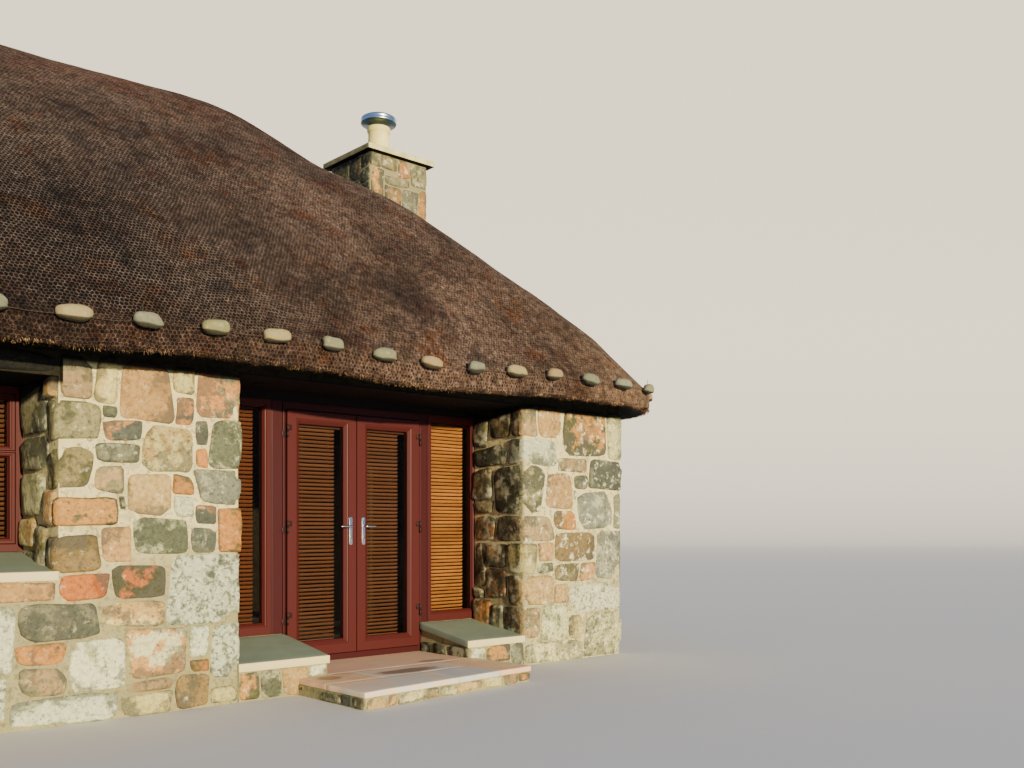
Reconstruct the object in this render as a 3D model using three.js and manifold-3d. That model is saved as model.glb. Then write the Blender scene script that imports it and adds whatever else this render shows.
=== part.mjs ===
// Thatched stone cottage with a hipped, rounded roof, in millimetres.
// X runs along the front to the right, Y runs into the house and Z is up.
// The origin is the middle of the plan, at ground level. The front faces -Y.
import * as THREE from 'three';
import { mergeVertices } from 'three/addons/utils/BufferGeometryUtils.js';
import Module from 'manifold-3d';

const wasm = await Module();
wasm.setup();

// Clear gap between pieces that rest on or against each other
const seam = 0.3;

// Walls
const houseLength = 9870;
const houseDepth = 5900;
const wallThickness = 800;
const wallHeadTop = 2450;
const wallHeadBottom = 2100;
const halfLength = houseLength / 2;
const halfDepth = houseDepth / 2;
const innerX = halfLength - wallThickness;
const innerY = halfDepth - wallThickness;
const revealDepth = 646;
const frameDepth = 70;
const frameFront = halfDepth - revealDepth;
const frameBack = frameFront - frameDepth;

// Door recess between the two front piers
const recessLeft = 1031;
const recessRight = 3703;
const recessTop = 2250;

// Windows: two in the front and two in the back
const windowLefts = { front_1: -3710, front_2: -1340, back_1: -3710, back_2: 2510 };
const windowWidth = 1200;
const windowTop = wallHeadBottom - seam;
const windowSillBack = 1034;
const windowBorder = 92;
const transomBottom = 1640;
const transomHeight = 76;
const paneRebate = 40;
const blindThickness = 17;
const glassThickness = 20;

// Sloping sill slabs
const sillFall = 103;
const sillThickness = 56;
const sillNose = 16;

// Entrance: low masonry under the sidelights, the step and its flags
const plinthTop = 365;
const plinthLeftEnd = 1735;
const plinthRightStart = 3090;
const stepBaseHeight = 80;
const flagTop = 120;
const flagNose = 14;
const stepFront = { left: [1499, -3785], right: [3135, -3608] };
const floorTop = 150;

// Door frame
const frameHeadTop = 2170;
const lightTop = 2111;
const doorOpening = { left: 1766, right: 3058, bottom: 169 };
const sidelightBottom = 456;
const sidelights = { left: [1091, 1575], right: [3215, 3662] };
const headBoardTop = 2234;

// Door leaves
const leafGap = 6;
const leafMiddle = (doorOpening.left + doorOpening.right) / 2;
const leafThickness = 70;
const leafProud = 18;
const leafFront = -(frameFront + leafProud);
const leafBack = leafFront + leafThickness;
const stileWidth = 114;
const leafTop = lightTop - leafGap;
const leafBottom = doorOpening.bottom + leafGap;
const paneTop = 2004;
const paneBottom = 288;
const closingBevel = 6;

// Hinges and handles
const hingeHeights = [480, 1192, 1940];
const hingeRadius = 8;
const hingeHalf = 50;
const hingeStandOff = 12;
const flagWidth = 38;
const flagThickness = 5;
const handleHeight = 1197;
const plateHeight = 230;
const plateWidth = 32;
const plateThickness = 8;
const plateDrop = 37;
const plateOffset = 62;
const leverNeck = 9;
const leverReach = 44;
const leverLength = 112;
const leverBar = 17;

// Chimney
const stackCentreX = 4255;
const stackWidth = 740;
const stackDepth = 760;
const stackTop = 5184;
const capOverhang = 70;
const capThickness = 63;
const potHeight = 385;
const potRadius = 122;
const cowlRadius = 200;
const cowlTop = 5777;

// Thatch: plan outline at the eaves, and the curve up to the ridge
const eaveX = 5440;
const eaveY = 3400;
const ridgeHalf = 1553;
const ridgeHeight = 5202;
const eaveHeight = 2430;
const roofCurve = 1.63;
const cornerShareEave = 0.27;
const cornerShareRidge = 0.62;
const lipBottom = 2205;
const bearingWidth = 450;
const undersideClear = 25;
const thatchThickness = 420;
const innerCurve = 1.45;
const innerRidgeHalf = 1500;

// Stones that weigh the netting down, hung along its edge wire
const stoneSpacing = 424;
const stoneLength = 205;
const stoneHeight = 104;
const stoneDepth = 88;
const stoneLine = 2432;
const edgeWire = 7;
const edgeWireOffset = 12;
const edgeWireEnd = 3;
const wireStep = 190;

// Finishes
function finish(color, roughness, metalness = 0) {
  return new THREE.MeshStandardMaterial({ color, roughness, metalness });
}
const rubble = finish(0xa39682, 0.92);
const thatchStraw = finish(0x5a4535, 0.96);
const weightStone = finish(0x96907c, 0.85);
const redFrame = finish(0x5e1a1e, 0.38);
const slate = finish(0x5e5f5c, 0.72);
const sandstone = finish(0xa87f68, 0.8);
const darkTimber = finish(0x2b201a, 0.75);
const slats = finish(0x9c5a24, 0.55);
const glazing = finish(0x20241f, 0.06);
const chrome = finish(0xcfd0d0, 0.18, 1);
const concreteCap = finish(0xb9b2a0, 0.85);
const clay = finish(0xd8c9a4, 0.7);
const cowlMetal = finish(0xb9bcbc, 0.3, 1);
const screed = finish(0x8d8a84, 0.9);

// Solids for joining and cutting
function toSolid(geometry) {
  const bare = geometry.clone();
  bare.deleteAttribute('normal');
  bare.deleteAttribute('uv');
  const merged = mergeVertices(bare, 1e-3);
  return new wasm.Manifold(new wasm.Mesh({
    numProp: 3,
    vertProperties: new Float32Array(merged.attributes.position.array),
    triVerts: new Uint32Array(merged.index.array),
  }));
}

function toGeometry(solid) {
  const mesh = solid.getMesh();
  const geometry = new THREE.BufferGeometry();
  geometry.setAttribute('position', new THREE.BufferAttribute(new Float32Array(mesh.vertProperties), 3));
  geometry.setIndex(new THREE.BufferAttribute(new Uint32Array(mesh.triVerts), 1));
  return geometry;
}

function joined(...geometries) {
  const solids = geometries.map(toSolid);
  return toGeometry(solids.reduce((whole, next) => whole.add(next)));
}

function cut(geometry, ...tools) {
  return toGeometry(tools.map(toSolid).reduce((whole, tool) => whole.subtract(tool), toSolid(geometry)));
}

// A block between two corners
function block(x0, x1, y0, y1, z0, z1) {
  const geometry = new THREE.BoxGeometry(x1 - x0, y1 - y0, z1 - z0);
  return geometry.translate((x0 + x1) / 2, (y0 + y1) / 2, (z0 + z1) / 2);
}

function outline(points) {
  return new THREE.Shape(points.map(([a, b]) => new THREE.Vector2(a, b)));
}

// A plan outline raised from z0 to z1
function raised(points, z0, z1) {
  const geometry = new THREE.ExtrudeGeometry(outline(points), { depth: z1 - z0, bevelEnabled: false });
  return geometry.translate(0, 0, z0);
}

// An outline in X and Z, with holes, running back from y0 to y1
function panel(points, holes, y0, y1) {
  const shape = outline(points);
  shape.holes = holes.map(outline);
  const geometry = new THREE.ExtrudeGeometry(shape, { depth: y1 - y0, bevelEnabled: false });
  return geometry.rotateX(Math.PI / 2).translate(0, y1, 0);
}

function rectangle(x0, x1, z0, z1) {
  return [[x0, z0], [x1, z0], [x1, z1], [x0, z1]];
}

// An outline in Y and Z, running along X from x0 to x1
function alongX(points, x0, x1) {
  const geometry = new THREE.ExtrudeGeometry(outline(points), { depth: x1 - x0, bevelEnabled: false });
  const axes = new THREE.Matrix4().makeBasis(
    new THREE.Vector3(0, 1, 0),
    new THREE.Vector3(0, 0, 1),
    new THREE.Vector3(1, 0, 0),
  );
  return geometry.applyMatrix4(axes).translate(x0, 0, 0);
}

function turned(points, x, y, segments = 24) {
  const profile = points.map(([r, z]) => new THREE.Vector2(r, z));
  return new THREE.LatheGeometry(profile, segments).rotateX(Math.PI / 2).translate(x, y, 0);
}

function rod(radius, from, to, sides = 16) {
  const a = new THREE.Vector3(...from);
  const b = new THREE.Vector3(...to);
  const span = b.clone().sub(a);
  const geometry = new THREE.CylinderGeometry(radius, radius, span.length(), sides);
  const turn = new THREE.Quaternion().setFromUnitVectors(new THREE.Vector3(0, 1, 0), span.normalize());
  return geometry.applyQuaternion(turn).translate(...a.add(b).multiplyScalar(0.5).toArray());
}

const cottage = new THREE.Group();
cottage.name = 'thatched_cottage';

function place(name, geometry, material) {
  const mesh = new THREE.Mesh(geometry, material);
  mesh.name = name;
  cottage.add(mesh);
  return mesh;
}

// Faces a front piece to the back, by half a turn about Z
function half(geometry) {
  return geometry.rotateZ(Math.PI);
}

// The bed under a sill slab: level behind the frame's face, sloping down in front of it
function sillBed(backHeight) {
  const bedBack = backHeight - sillThickness;
  const bedFront = bedBack - sillFall;
  return { bedBack, bedFront };
}

// Notch in a front wall for one window, open at the top where the wall head closes it
function windowNotch(x0) {
  const { bedBack, bedFront } = sillBed(windowSillBack);
  const slope = sillFall / revealDepth;
  const profile = [
    [-halfDepth - 50, bedFront - 50 * slope],
    [-frameFront, bedBack],
    [-frameFront, windowSillBack],
    [-innerY + 50, windowSillBack],
    [-innerY + 50, wallHeadBottom + 50],
    [-halfDepth - 50, wallHeadBottom + 50],
  ];
  return alongX(profile, x0, x0 + windowWidth);
}

function sillSlab(x0, x1, backHeight) {
  const slope = sillFall / revealDepth;
  const noseDrop = sillNose * slope;
  const top = backHeight;
  const profile = [
    [-frameFront - seam, top - sillThickness + seam],
    [-frameFront - seam, top],
    [-halfDepth - sillNose, top - sillFall - noseDrop],
    [-halfDepth - sillNose, top - sillFall - noseDrop - sillThickness + seam],
  ];
  return alongX(profile.reverse(), x0 + seam, x1 - seam);
}

function buildWalls() {
  const frontLeft = block(-halfLength, recessLeft, -halfDepth, -innerY, 0, wallHeadBottom);
  const frontNotches = [windowLefts.front_1, windowLefts.front_2].map(windowNotch);
  place('wall_front_left', cut(frontLeft, ...frontNotches), rubble);
  place('wall_front_right', block(recessRight, halfLength, -halfDepth, -innerY, 0, wallHeadBottom), rubble);

  const back = block(-halfLength, halfLength, innerY, halfDepth, 0, wallHeadBottom);
  const backNotches = [windowLefts.back_1, windowLefts.back_2].map((x0) => half(windowNotch(-x0 - windowWidth)));
  place('wall_back', cut(back, ...backNotches), rubble);

  const endY = innerY - seam;
  place('wall_left', block(-halfLength, -innerX, -endY, endY, 0, wallHeadTop), rubble);
  const stackX0 = stackCentreX - stackWidth / 2 - seam;
  const stackX1 = stackCentreX + stackWidth / 2 + seam;
  const stackY = stackDepth / 2 + seam;
  const bond = block(stackX0, stackX1, -stackY, stackY, -50, wallHeadTop + 50);
  place('wall_right', cut(block(innerX, halfLength, -endY, endY, 0, wallHeadTop), bond), rubble);

  const frontHead = block(-halfLength, halfLength, -halfDepth, -innerY, wallHeadBottom + seam, wallHeadTop);
  const overRecess = block(recessLeft, recessRight, -halfDepth - 50, -innerY + 50, wallHeadBottom - 50, recessTop);
  place('wall_head_front', cut(frontHead, overRecess), rubble);
  place('wall_head_back', block(-halfLength, halfLength, innerY, halfDepth, wallHeadBottom + seam, wallHeadTop), rubble);
}

// One window: frame with a transom, one sheet of glass behind it, the blind and the sill slab
function buildWindow(name, x0, onBack) {
  const turn = onBack ? half : (geometry) => geometry;
  const start = onBack ? -x0 - windowWidth : x0;
  const left = start + seam;
  const right = start + windowWidth - seam;
  const bottom = windowSillBack + seam;
  const frontY = -frameFront;
  const rebateY = frontY + 29;
  const backY = -frameBack;
  const paneLeft = left + windowBorder;
  const paneRight = right - windowBorder;
  const lowLight = rectangle(paneLeft, paneRight, bottom + windowBorder, transomBottom);
  const highLight = rectangle(paneLeft, paneRight, transomBottom + transomHeight, windowTop - windowBorder);
  const face = panel(rectangle(left, right, bottom, windowTop), [lowLight, highLight], frontY, rebateY + 1);
  const inset = windowBorder - paneRebate;
  const pocket = rectangle(left + inset, right - inset, bottom + inset, windowTop - inset);
  const body = panel(rectangle(left, right, bottom, windowTop), [pocket], rebateY, backY);
  place(`window_${name}_frame`, turn(joined(face, body)), redFrame);

  const edge = inset + seam;
  const glassY = rebateY + 1 + seam;
  const glass = block(left + edge, right - edge, glassY, glassY + glassThickness, bottom + edge, windowTop - edge);
  place(`window_${name}_glass`, turn(glass), glazing);
  const blindY = glassY + glassThickness + seam;
  const blind = block(left + edge, right - edge, blindY, blindY + blindThickness, bottom + edge, windowTop - edge);
  place(`window_${name}_blind`, turn(blind), slats);
  place(`window_${name}_sill`, turn(sillSlab(start, start + windowWidth, windowSillBack)), slate);
}

function buildPlinth(x0, x1) {
  const { bedBack, bedFront } = sillBed(plinthTop);
  const profile = [
    [-halfDepth, 0],
    [-innerY, 0],
    [-innerY, plinthTop],
    [-frameFront, plinthTop],
    [-frameFront, bedBack],
    [-halfDepth, bedFront],
  ];
  return alongX(profile, x0, x1);
}

function buildEntrance() {
  place('plinth_left', buildPlinth(recessLeft + seam, plinthLeftEnd), rubble);
  place('plinth_right', buildPlinth(plinthRightStart, recessRight - seam), rubble);
  place('plinth_left_sill', sillSlab(recessLeft, plinthLeftEnd + flagNose, plinthTop), slate);
  place('plinth_right_sill', sillSlab(plinthRightStart - 2 * flagNose, recessRight, plinthTop), slate);

  const throatLeft = plinthLeftEnd + seam;
  const throatRight = plinthRightStart - seam;
  const behind = -halfDepth - seam;
  const threshold = -frameBack - seam;
  const basePlan = [
    stepFront.left,
    stepFront.right,
    [stepFront.right[0], behind],
    [throatRight, behind],
    [throatRight, threshold],
    [throatLeft, threshold],
    [throatLeft, behind],
    [stepFront.left[0], behind],
  ];
  place('step_base', raised(basePlan, 0, stepBaseHeight), rubble);
  const flagPlan = basePlan.map(([x, y]) => [x, y]);
  flagPlan[0] = [stepFront.left[0] - flagNose, stepFront.left[1] - flagNose];
  flagPlan[1] = [stepFront.right[0] + flagNose, stepFront.right[1] - flagNose];
  flagPlan[2] = [stepFront.right[0] + flagNose, behind];
  flagPlan[7] = [stepFront.left[0] - flagNose, behind];
  place('step_flags', raised(flagPlan, stepBaseHeight + seam, flagTop), sandstone);

  const stackX0 = stackCentreX - stackWidth / 2 - seam;
  const stackY = stackDepth / 2 + seam;
  const edgeX = innerX - seam;
  const edgeY = innerY - seam;
  const tongue = -frameBack;
  const floorPlan = [
    [-edgeX, -edgeY],
    [throatLeft, -edgeY],
    [throatLeft, tongue],
    [throatRight, tongue],
    [throatRight, -edgeY],
    [edgeX, -edgeY],
    [edgeX, -stackY],
    [stackX0, -stackY],
    [stackX0, stackY],
    [edgeX, stackY],
    [edgeX, edgeY],
    [-edgeX, edgeY],
  ];
  place('floor', raised(floorPlan, 0, floorTop), screed);
}

function buildDoorFrame() {
  const left = recessLeft + seam;
  const right = recessRight - seam;
  const footLeft = plinthLeftEnd + seam;
  const footRight = plinthRightStart - seam;
  const shoulder = plinthTop + seam;
  const foot = flagTop + seam;
  const edge = [
    [left, shoulder],
    [footLeft, shoulder],
    [footLeft, foot],
    [footRight, foot],
    [footRight, shoulder],
    [right, shoulder],
    [right, frameHeadTop],
    [left, frameHeadTop],
  ];
  const holes = [
    rectangle(doorOpening.left, doorOpening.right, doorOpening.bottom, lightTop),
    rectangle(...sidelights.left, sidelightBottom, lightTop),
    rectangle(...sidelights.right, sidelightBottom, lightTop),
  ];
  const frame = panel(edge, holes, -frameFront, -frameBack);
  const hinges = [-1, 1].flatMap((side) => hingeHeights.map((z) => frameHinge(side, z)));
  place('door_frame', joined(frame, ...hinges), redFrame);

  for (const [name, [x0, x1]] of Object.entries(sidelights)) {
    const glassY = -frameFront + 24;
    const pane = block(x0 + seam, x1 - seam, glassY, glassY + glassThickness, sidelightBottom + seam, lightTop - seam);
    place(`sidelight_${name}_glass`, pane, glazing);
    const blindY = -frameBack + seam;
    const lap = 8;
    const blind = block(x0 - lap, x1 + lap, blindY, blindY + blindThickness, sidelightBottom - lap, lightTop + lap);
    place(`sidelight_${name}_blind`, blind, slats);
  }
  const board = block(left, right, -frameFront, -frameBack, frameHeadTop + seam, headBoardTop);
  place('door_head_board', board, darkTimber);

  const soffit = block(left, right, -halfDepth, -innerY, headBoardTop + seam, recessTop - seam);
  const lampY = -halfDepth + 330;
  const lamps = [1356, 3272].map((x) => rod(44, [x, lampY, headBoardTop - 5], [x, lampY, headBoardTop + 6], 20));
  place('recess_soffit', joined(soffit, ...lamps), darkTimber);
}

function hingeAxis(side) {
  const x = side < 0 ? doorOpening.left + leafGap / 2 : doorOpening.right - leafGap / 2;
  return [x, leafFront - hingeStandOff];
}

// Lower half of a hinge, with its flag on the frame
function frameHinge(side, z) {
  const [x, y] = hingeAxis(side);
  const knuckle = rod(hingeRadius, [x, y, z - hingeHalf], [x, y, z - 0.5]);
  const face = -frameFront;
  const outer = x + side * flagWidth;
  const flag = block(Math.min(x, outer), Math.max(x, outer), face - flagThickness, face + 1, z - hingeHalf, z - 0.5);
  const webOuter = x + side * flagThickness;
  const webLow = Math.min(x, webOuter);
  const web = block(webLow, Math.max(x, webOuter), y, face - 1, z - hingeHalf, z - 0.5);
  return joined(flag, web, knuckle);
}

// Upper half of a hinge, with its flag on the leaf
function leafHinge(side, z) {
  const [x, y] = hingeAxis(side);
  const knuckle = rod(hingeRadius, [x, y, z], [x, y, z + hingeHalf]);
  const outer = x - side * flagWidth;
  const low = Math.min(x, outer);
  const flag = block(low, Math.max(x, outer), leafFront - hingeStandOff, leafFront + 1, z, z + hingeHalf);
  return joined(flag, knuckle);
}

// One door leaf, its glass, blind, handle plate and lever. side is -1 on the left, 1 on the right.
function buildLeaf(name, side) {
  const outer = side < 0 ? doorOpening.left + leafGap : doorOpening.right - leafGap;
  const closing = leafMiddle + side * leafGap / 2;
  const x0 = Math.min(outer, closing);
  const x1 = Math.max(outer, closing);
  const pane = rectangle(x0 + stileWidth, x1 - stileWidth, paneBottom, paneTop);
  const slab = panel(rectangle(x0, x1, leafBottom, leafTop), [pane], leafFront, leafBack);
  const inward = closing + side * closingBevel;
  const bevelPlan = [
    [closing, leafFront],
    [closing - side * 5, leafFront],
    [closing - side * 5, leafBack + 5],
    [inward, leafBack + 5],
    [inward, leafBack],
  ];
  if (side > 0) bevelPlan.reverse();
  const bevel = raised(bevelPlan, leafBottom - 5, leafTop + 5);
  const hinges = hingeHeights.map((z) => leafHinge(side, z));
  place(`door_${name}_leaf`, joined(cut(slab, bevel), ...hinges), redFrame);

  const glassY = leafFront + 24;
  const glassX0 = x0 + stileWidth + seam;
  const glassX1 = x1 - stileWidth - seam;
  const glass = block(glassX0, glassX1, glassY, glassY + glassThickness, paneBottom + seam, paneTop - seam);
  place(`door_${name}_glass`, glass, glazing);
  const blindY = leafBack + seam;
  const lap = 8;
  const blind = block(glassX0 - lap, glassX1 + lap, blindY, blindY + blindThickness, paneBottom - lap, paneTop + lap);
  place(`door_${name}_blind`, blind, slats);

  const plateX = leafMiddle + side * plateOffset;
  const plateMiddle = handleHeight - plateDrop;
  const plateBack = leafFront - seam;
  const plateFront = plateBack - plateThickness;
  const plateLow = plateMiddle - plateHeight / 2;
  const halfPlate = plateWidth / 2;
  const plate = block(plateX - halfPlate, plateX + halfPlate, plateFront, plateBack, plateLow, plateLow + plateHeight);
  place(`door_${name}_handle_plate`, plate, chrome);

  const neckBack = plateFront - seam;
  const neck = rod(leverNeck, [plateX, neckBack, handleHeight], [plateX, neckBack - leverReach, handleHeight]);
  const barY = neckBack - leverReach + leverNeck;
  const tip = plateX + side * leverLength;
  const grip = rod(leverBar / 2, [plateX, barY, handleHeight], [tip, barY, handleHeight], 12);
  place(`door_${name}_lever`, joined(neck, grip), chrome);
}

function buildChimney() {
  const halfW = stackWidth / 2;
  const halfD = stackDepth / 2;
  const x0 = stackCentreX - halfW;
  const x1 = stackCentreX + halfW;
  place('chimney_stack', block(x0, x1, -halfD, halfD, 0, stackTop), rubble);
  const reach = capOverhang;
  const capBottom = stackTop + seam;
  const capTop = stackTop + capThickness;
  place('chimney_cap', block(x0 - reach, x1 + reach, -halfD - reach, halfD + reach, capBottom, capTop), concreteCap);
  const potBottom = capTop + seam;
  const potTop = potBottom + potHeight;
  const pot = [
    [0, potBottom],
    [potRadius + 22, potBottom],
    [potRadius + 22, potBottom + 50],
    [potRadius, potBottom + 80],
    [potRadius - 8, potTop - 60],
    [potRadius + 6, potTop - 50],
    [potRadius + 6, potTop],
    [0, potTop],
  ];
  place('chimney_pot', turned(pot, stackCentreX, 0), clay);
  const cowlBottom = potTop + seam;
  const cowl = [
    [0, cowlBottom],
    [potRadius - 12, cowlBottom],
    [potRadius - 12, cowlBottom + 22],
    [cowlRadius - 12, cowlBottom + 34],
    [cowlRadius, cowlBottom + 46],
    [cowlRadius, cowlBottom + 78],
    [cowlRadius - 34, cowlBottom + 106],
    [cowlRadius * 0.45, cowlTop - 8],
    [0, cowlTop],
  ];
  place('chimney_cowl', turned(cowl, stackCentreX, 0), cowlMetal);
}

// Points of a rounded rectangle, in order from the middle of the +X side, anticlockwise
const sideSteps = 3;
const cornerSteps = 6;
const frontSteps = 6;
function roundedPlan(halfX, halfY, radius) {
  const quarter = [];
  for (let i = 0; i < sideSteps; i += 1) quarter.push([halfX, (halfY - radius) * i / sideSteps]);
  for (let i = 0; i < cornerSteps; i += 1) {
    const angle = Math.PI / 2 * i / cornerSteps;
    quarter.push([halfX - radius + radius * Math.cos(angle), halfY - radius + radius * Math.sin(angle)]);
  }
  for (let i = 0; i < frontSteps; i += 1) quarter.push([(halfX - radius) * (1 - i / frontSteps), halfY]);
  const top = [0, halfY];
  const upper = [...quarter, top, ...quarter.slice(1).reverse().map(([x, y]) => [-x, y])];
  const lower = upper.slice(1).reverse().map(([x, y]) => [x, -y]);
  return [...upper, [-halfX, 0], ...lower];
}

// Closed skin through a stack of rings, capped by strips at both ends
function skin(rings) {
  const count = rings[0].length;
  const positions = rings.flat(2);
  const faces = [];
  const at = (ring, i) => ring * count + (i % count);
  for (let r = 0; r + 1 < rings.length; r += 1) {
    for (let i = 0; i < count; i += 1) {
      faces.push(at(r, i), at(r, i + 1), at(r + 1, i + 1));
      faces.push(at(r, i), at(r + 1, i + 1), at(r + 1, i));
    }
  }
  const cap = (ring, flip) => {
    const add = (a, b, c) => faces.push(at(ring, a), at(ring, flip ? c : b), at(ring, flip ? b : c));
    add(0, 1, count - 1);
    for (let i = 1; i < count / 2 - 1; i += 1) {
      add(i, i + 1, count - i - 1);
      add(i, count - i - 1, count - i);
    }
    add(count / 2 - 1, count / 2, count / 2 + 1);
  };
  cap(0, true);
  cap(rings.length - 1, false);
  const geometry = new THREE.BufferGeometry();
  geometry.setAttribute('position', new THREE.BufferAttribute(new Float32Array(positions), 3));
  geometry.setIndex(faces);
  return geometry;
}

// Half sizes, corner radius and height of the thatch at a share of the way from eave to ridge
function roofLevel(share) {
  const halfX = ridgeHalf + (eaveX - ridgeHalf) * (1 - share);
  const halfY = eaveY * (1 - share);
  const radius = (cornerShareEave + (cornerShareRidge - cornerShareEave) * share) * halfY;
  const height = eaveHeight + (ridgeHeight - eaveHeight) * (1 - (1 - share) ** roofCurve);
  return { halfX, halfY, radius, height };
}

function ringAt(halfX, halfY, radius, height) {
  return roundedPlan(halfX, halfY, radius).map(([x, y]) => [x, y, height]);
}

function buildThatch() {
  const rings = [];
  const bearingX = halfLength - bearingWidth;
  const bearingY = halfDepth - bearingWidth;
  const innerBottom = wallHeadTop + seam;
  const innerTop = ridgeHeight - thatchThickness;
  const lastShare = 0.985;
  for (const share of [lastShare, 0.86, 0.72, 0.56, 0.4, 0.26, 0.13, 0]) {
    const halfX = innerRidgeHalf + (bearingX - innerRidgeHalf) * (1 - share);
    const halfY = bearingY * (1 - share);
    const height = innerBottom + (innerTop - innerBottom) * (1 - (1 - share) ** innerCurve);
    rings.push(ringAt(halfX, halfY, halfY * 0.12, height));
  }
  rings.push(ringAt(halfLength + undersideClear, halfDepth + undersideClear, 6, innerBottom));
  const eaveRadius = cornerShareEave * eaveY;
  const lip = [[58, lipBottom], [20, lipBottom + 22], [0, lipBottom + 85], [0, stoneLine + 8]];
  for (const [inset, height] of lip) rings.push(ringAt(eaveX - inset, eaveY - inset, eaveRadius - inset, height));
  const outerShares = [0.008, 0.03, 0.07, 0.12, 0.19, 0.27, 0.36, 0.45, 0.54, 0.63, 0.72, 0.8, 0.87, 0.93, lastShare];
  for (const share of outerShares) {
    const { halfX, halfY, radius, height } = roofLevel(share);
    rings.push(ringAt(halfX, halfY, radius, height));
  }
  const stackX0 = stackCentreX - stackWidth / 2 - seam;
  const stackX1 = stackCentreX + stackWidth / 2 + seam;
  const stackY = stackDepth / 2 + seam;
  const flue = block(stackX0, stackX1, -stackY, stackY, wallHeadTop - 50, ridgeHeight + 50);
  place('thatch', cut(skin(rings), flue), thatchStraw);
}

// A point on the eave outline pushed out by an offset. turn is the angle of the outward side.
class EaveLine extends THREE.Curve {
  constructor(side, offset) {
    super();
    const radius = cornerShareEave * eaveY;
    this.along = side === 'front' || side === 'back';
    this.straight = this.along ? eaveX - radius : eaveY - radius;
    this.outward = this.along ? eaveY - radius : eaveX - radius;
    this.radius = radius + offset;
    this.heading = { front: 0, right: Math.PI / 2, back: Math.PI, left: -Math.PI / 2 }[side];
    this.arc = this.radius * Math.PI / 4;
    this.total = 2 * this.straight + 2 * this.arc;
  }

  // Where the line is, and which way is out, at a distance from its first end
  stand(distance) {
    let x;
    let y;
    let angle = 0;
    if (distance < this.arc) angle = (this.arc - distance) / this.radius;
    const past = distance - this.arc - 2 * this.straight;
    if (past > 0) angle = -past / this.radius;
    if (angle > 0) x = -this.straight - this.radius * Math.sin(angle);
    else if (angle < 0) x = this.straight - this.radius * Math.sin(angle);
    else x = distance - this.arc - this.straight;
    y = -this.outward - this.radius * Math.cos(angle);
    const spin = new THREE.Matrix4().makeRotationZ(this.heading);
    const point = new THREE.Vector3(x, y, stoneLine).applyMatrix4(spin);
    return { point, facing: this.heading - angle };
  }

  getPoint(t) {
    return this.stand(edgeWireEnd + t * (this.total - 2 * edgeWireEnd)).point;
  }
}

// A flattened cobble with its back against the thatch
function cobble(curve, distance, length) {
  const { point, facing } = curve.stand(distance);
  const stone = new THREE.SphereGeometry(0.5, 7, 4);
  stone.rotateX(Math.PI / 2).scale(length, stoneDepth, stoneHeight);
  stone.computeBoundingBox();
  stone.translate(0, -stone.boundingBox.max.y - seam, 0);
  return stone.rotateZ(facing).translate(...point.toArray());
}

function buildStones() {
  const section = outline([[-0.5, -0.5], [0.5, -0.5], [0.5, 0.5], [-0.5, 0.5]].map(([a, b]) => [a * edgeWire, b * edgeWire]));
  for (const side of ['front', 'right', 'back', 'left']) {
    const wireLine = new EaveLine(side, edgeWireOffset);
    const steps = Math.round(wireLine.total / wireStep);
    const wire = new THREE.ExtrudeGeometry(section, { steps, extrudePath: wireLine, bevelEnabled: false });
    const stoneCurve = new EaveLine(side, 0);
    const count = Math.floor(stoneCurve.total / stoneSpacing);
    const first = (stoneCurve.total - (count - 1) * stoneSpacing) / 2;
    const stones = [];
    for (let i = 0; i < count; i += 1) {
      const length = stoneLength * (0.9 + 0.1 * Math.sin(i * 2.4));
      stones.push(cobble(stoneCurve, first + i * stoneSpacing, length));
    }
    place(`netting_weights_${side}`, joined(wire, ...stones), weightStone);
  }
}

buildWalls();
buildWindow('front_1', windowLefts.front_1, false);
buildWindow('front_2', windowLefts.front_2, false);
buildWindow('back_1', windowLefts.back_1, true);
buildWindow('back_2', windowLefts.back_2, true);
buildEntrance();
buildDoorFrame();
buildLeaf('left', -1);
buildLeaf('right', 1);
buildChimney();
buildThatch();
buildStones();

export default cottage;
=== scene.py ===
import math

import bpy
import numpy as np
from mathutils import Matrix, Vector


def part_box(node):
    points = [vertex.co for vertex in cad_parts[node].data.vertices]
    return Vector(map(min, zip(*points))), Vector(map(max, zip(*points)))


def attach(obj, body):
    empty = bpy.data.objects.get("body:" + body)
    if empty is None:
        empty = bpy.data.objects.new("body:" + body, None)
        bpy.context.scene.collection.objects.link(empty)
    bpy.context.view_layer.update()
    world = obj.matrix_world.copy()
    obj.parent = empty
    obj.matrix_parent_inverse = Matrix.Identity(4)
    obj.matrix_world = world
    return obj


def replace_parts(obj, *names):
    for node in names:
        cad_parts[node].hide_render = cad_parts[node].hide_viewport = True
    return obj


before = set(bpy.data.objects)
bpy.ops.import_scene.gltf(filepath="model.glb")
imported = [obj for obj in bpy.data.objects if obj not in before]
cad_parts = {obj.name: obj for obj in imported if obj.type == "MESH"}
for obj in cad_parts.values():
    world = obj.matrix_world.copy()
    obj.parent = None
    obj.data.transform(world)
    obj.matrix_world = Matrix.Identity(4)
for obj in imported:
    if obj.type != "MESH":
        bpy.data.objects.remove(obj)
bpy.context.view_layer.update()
scene = bpy.context.scene
print("frame loaded,", len(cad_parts), "parts")


# Faces of the building, read from the frame, in metres
left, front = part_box("wall_front_left")[0].xy
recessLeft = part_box("wall_front_left")[1].x
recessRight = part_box("wall_front_right")[0].x
right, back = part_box("wall_back")[1].xy
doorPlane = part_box("door_head_board")[0].y
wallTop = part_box("recess_soffit")[1].z
windows = {name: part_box(f"window_{name}_frame") for name in ("front_1", "front_2", "back_1", "back_2")}
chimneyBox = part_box("chimney_stack")
seat = 0.0003    # gap between parts of the frame that lie against each other


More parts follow.
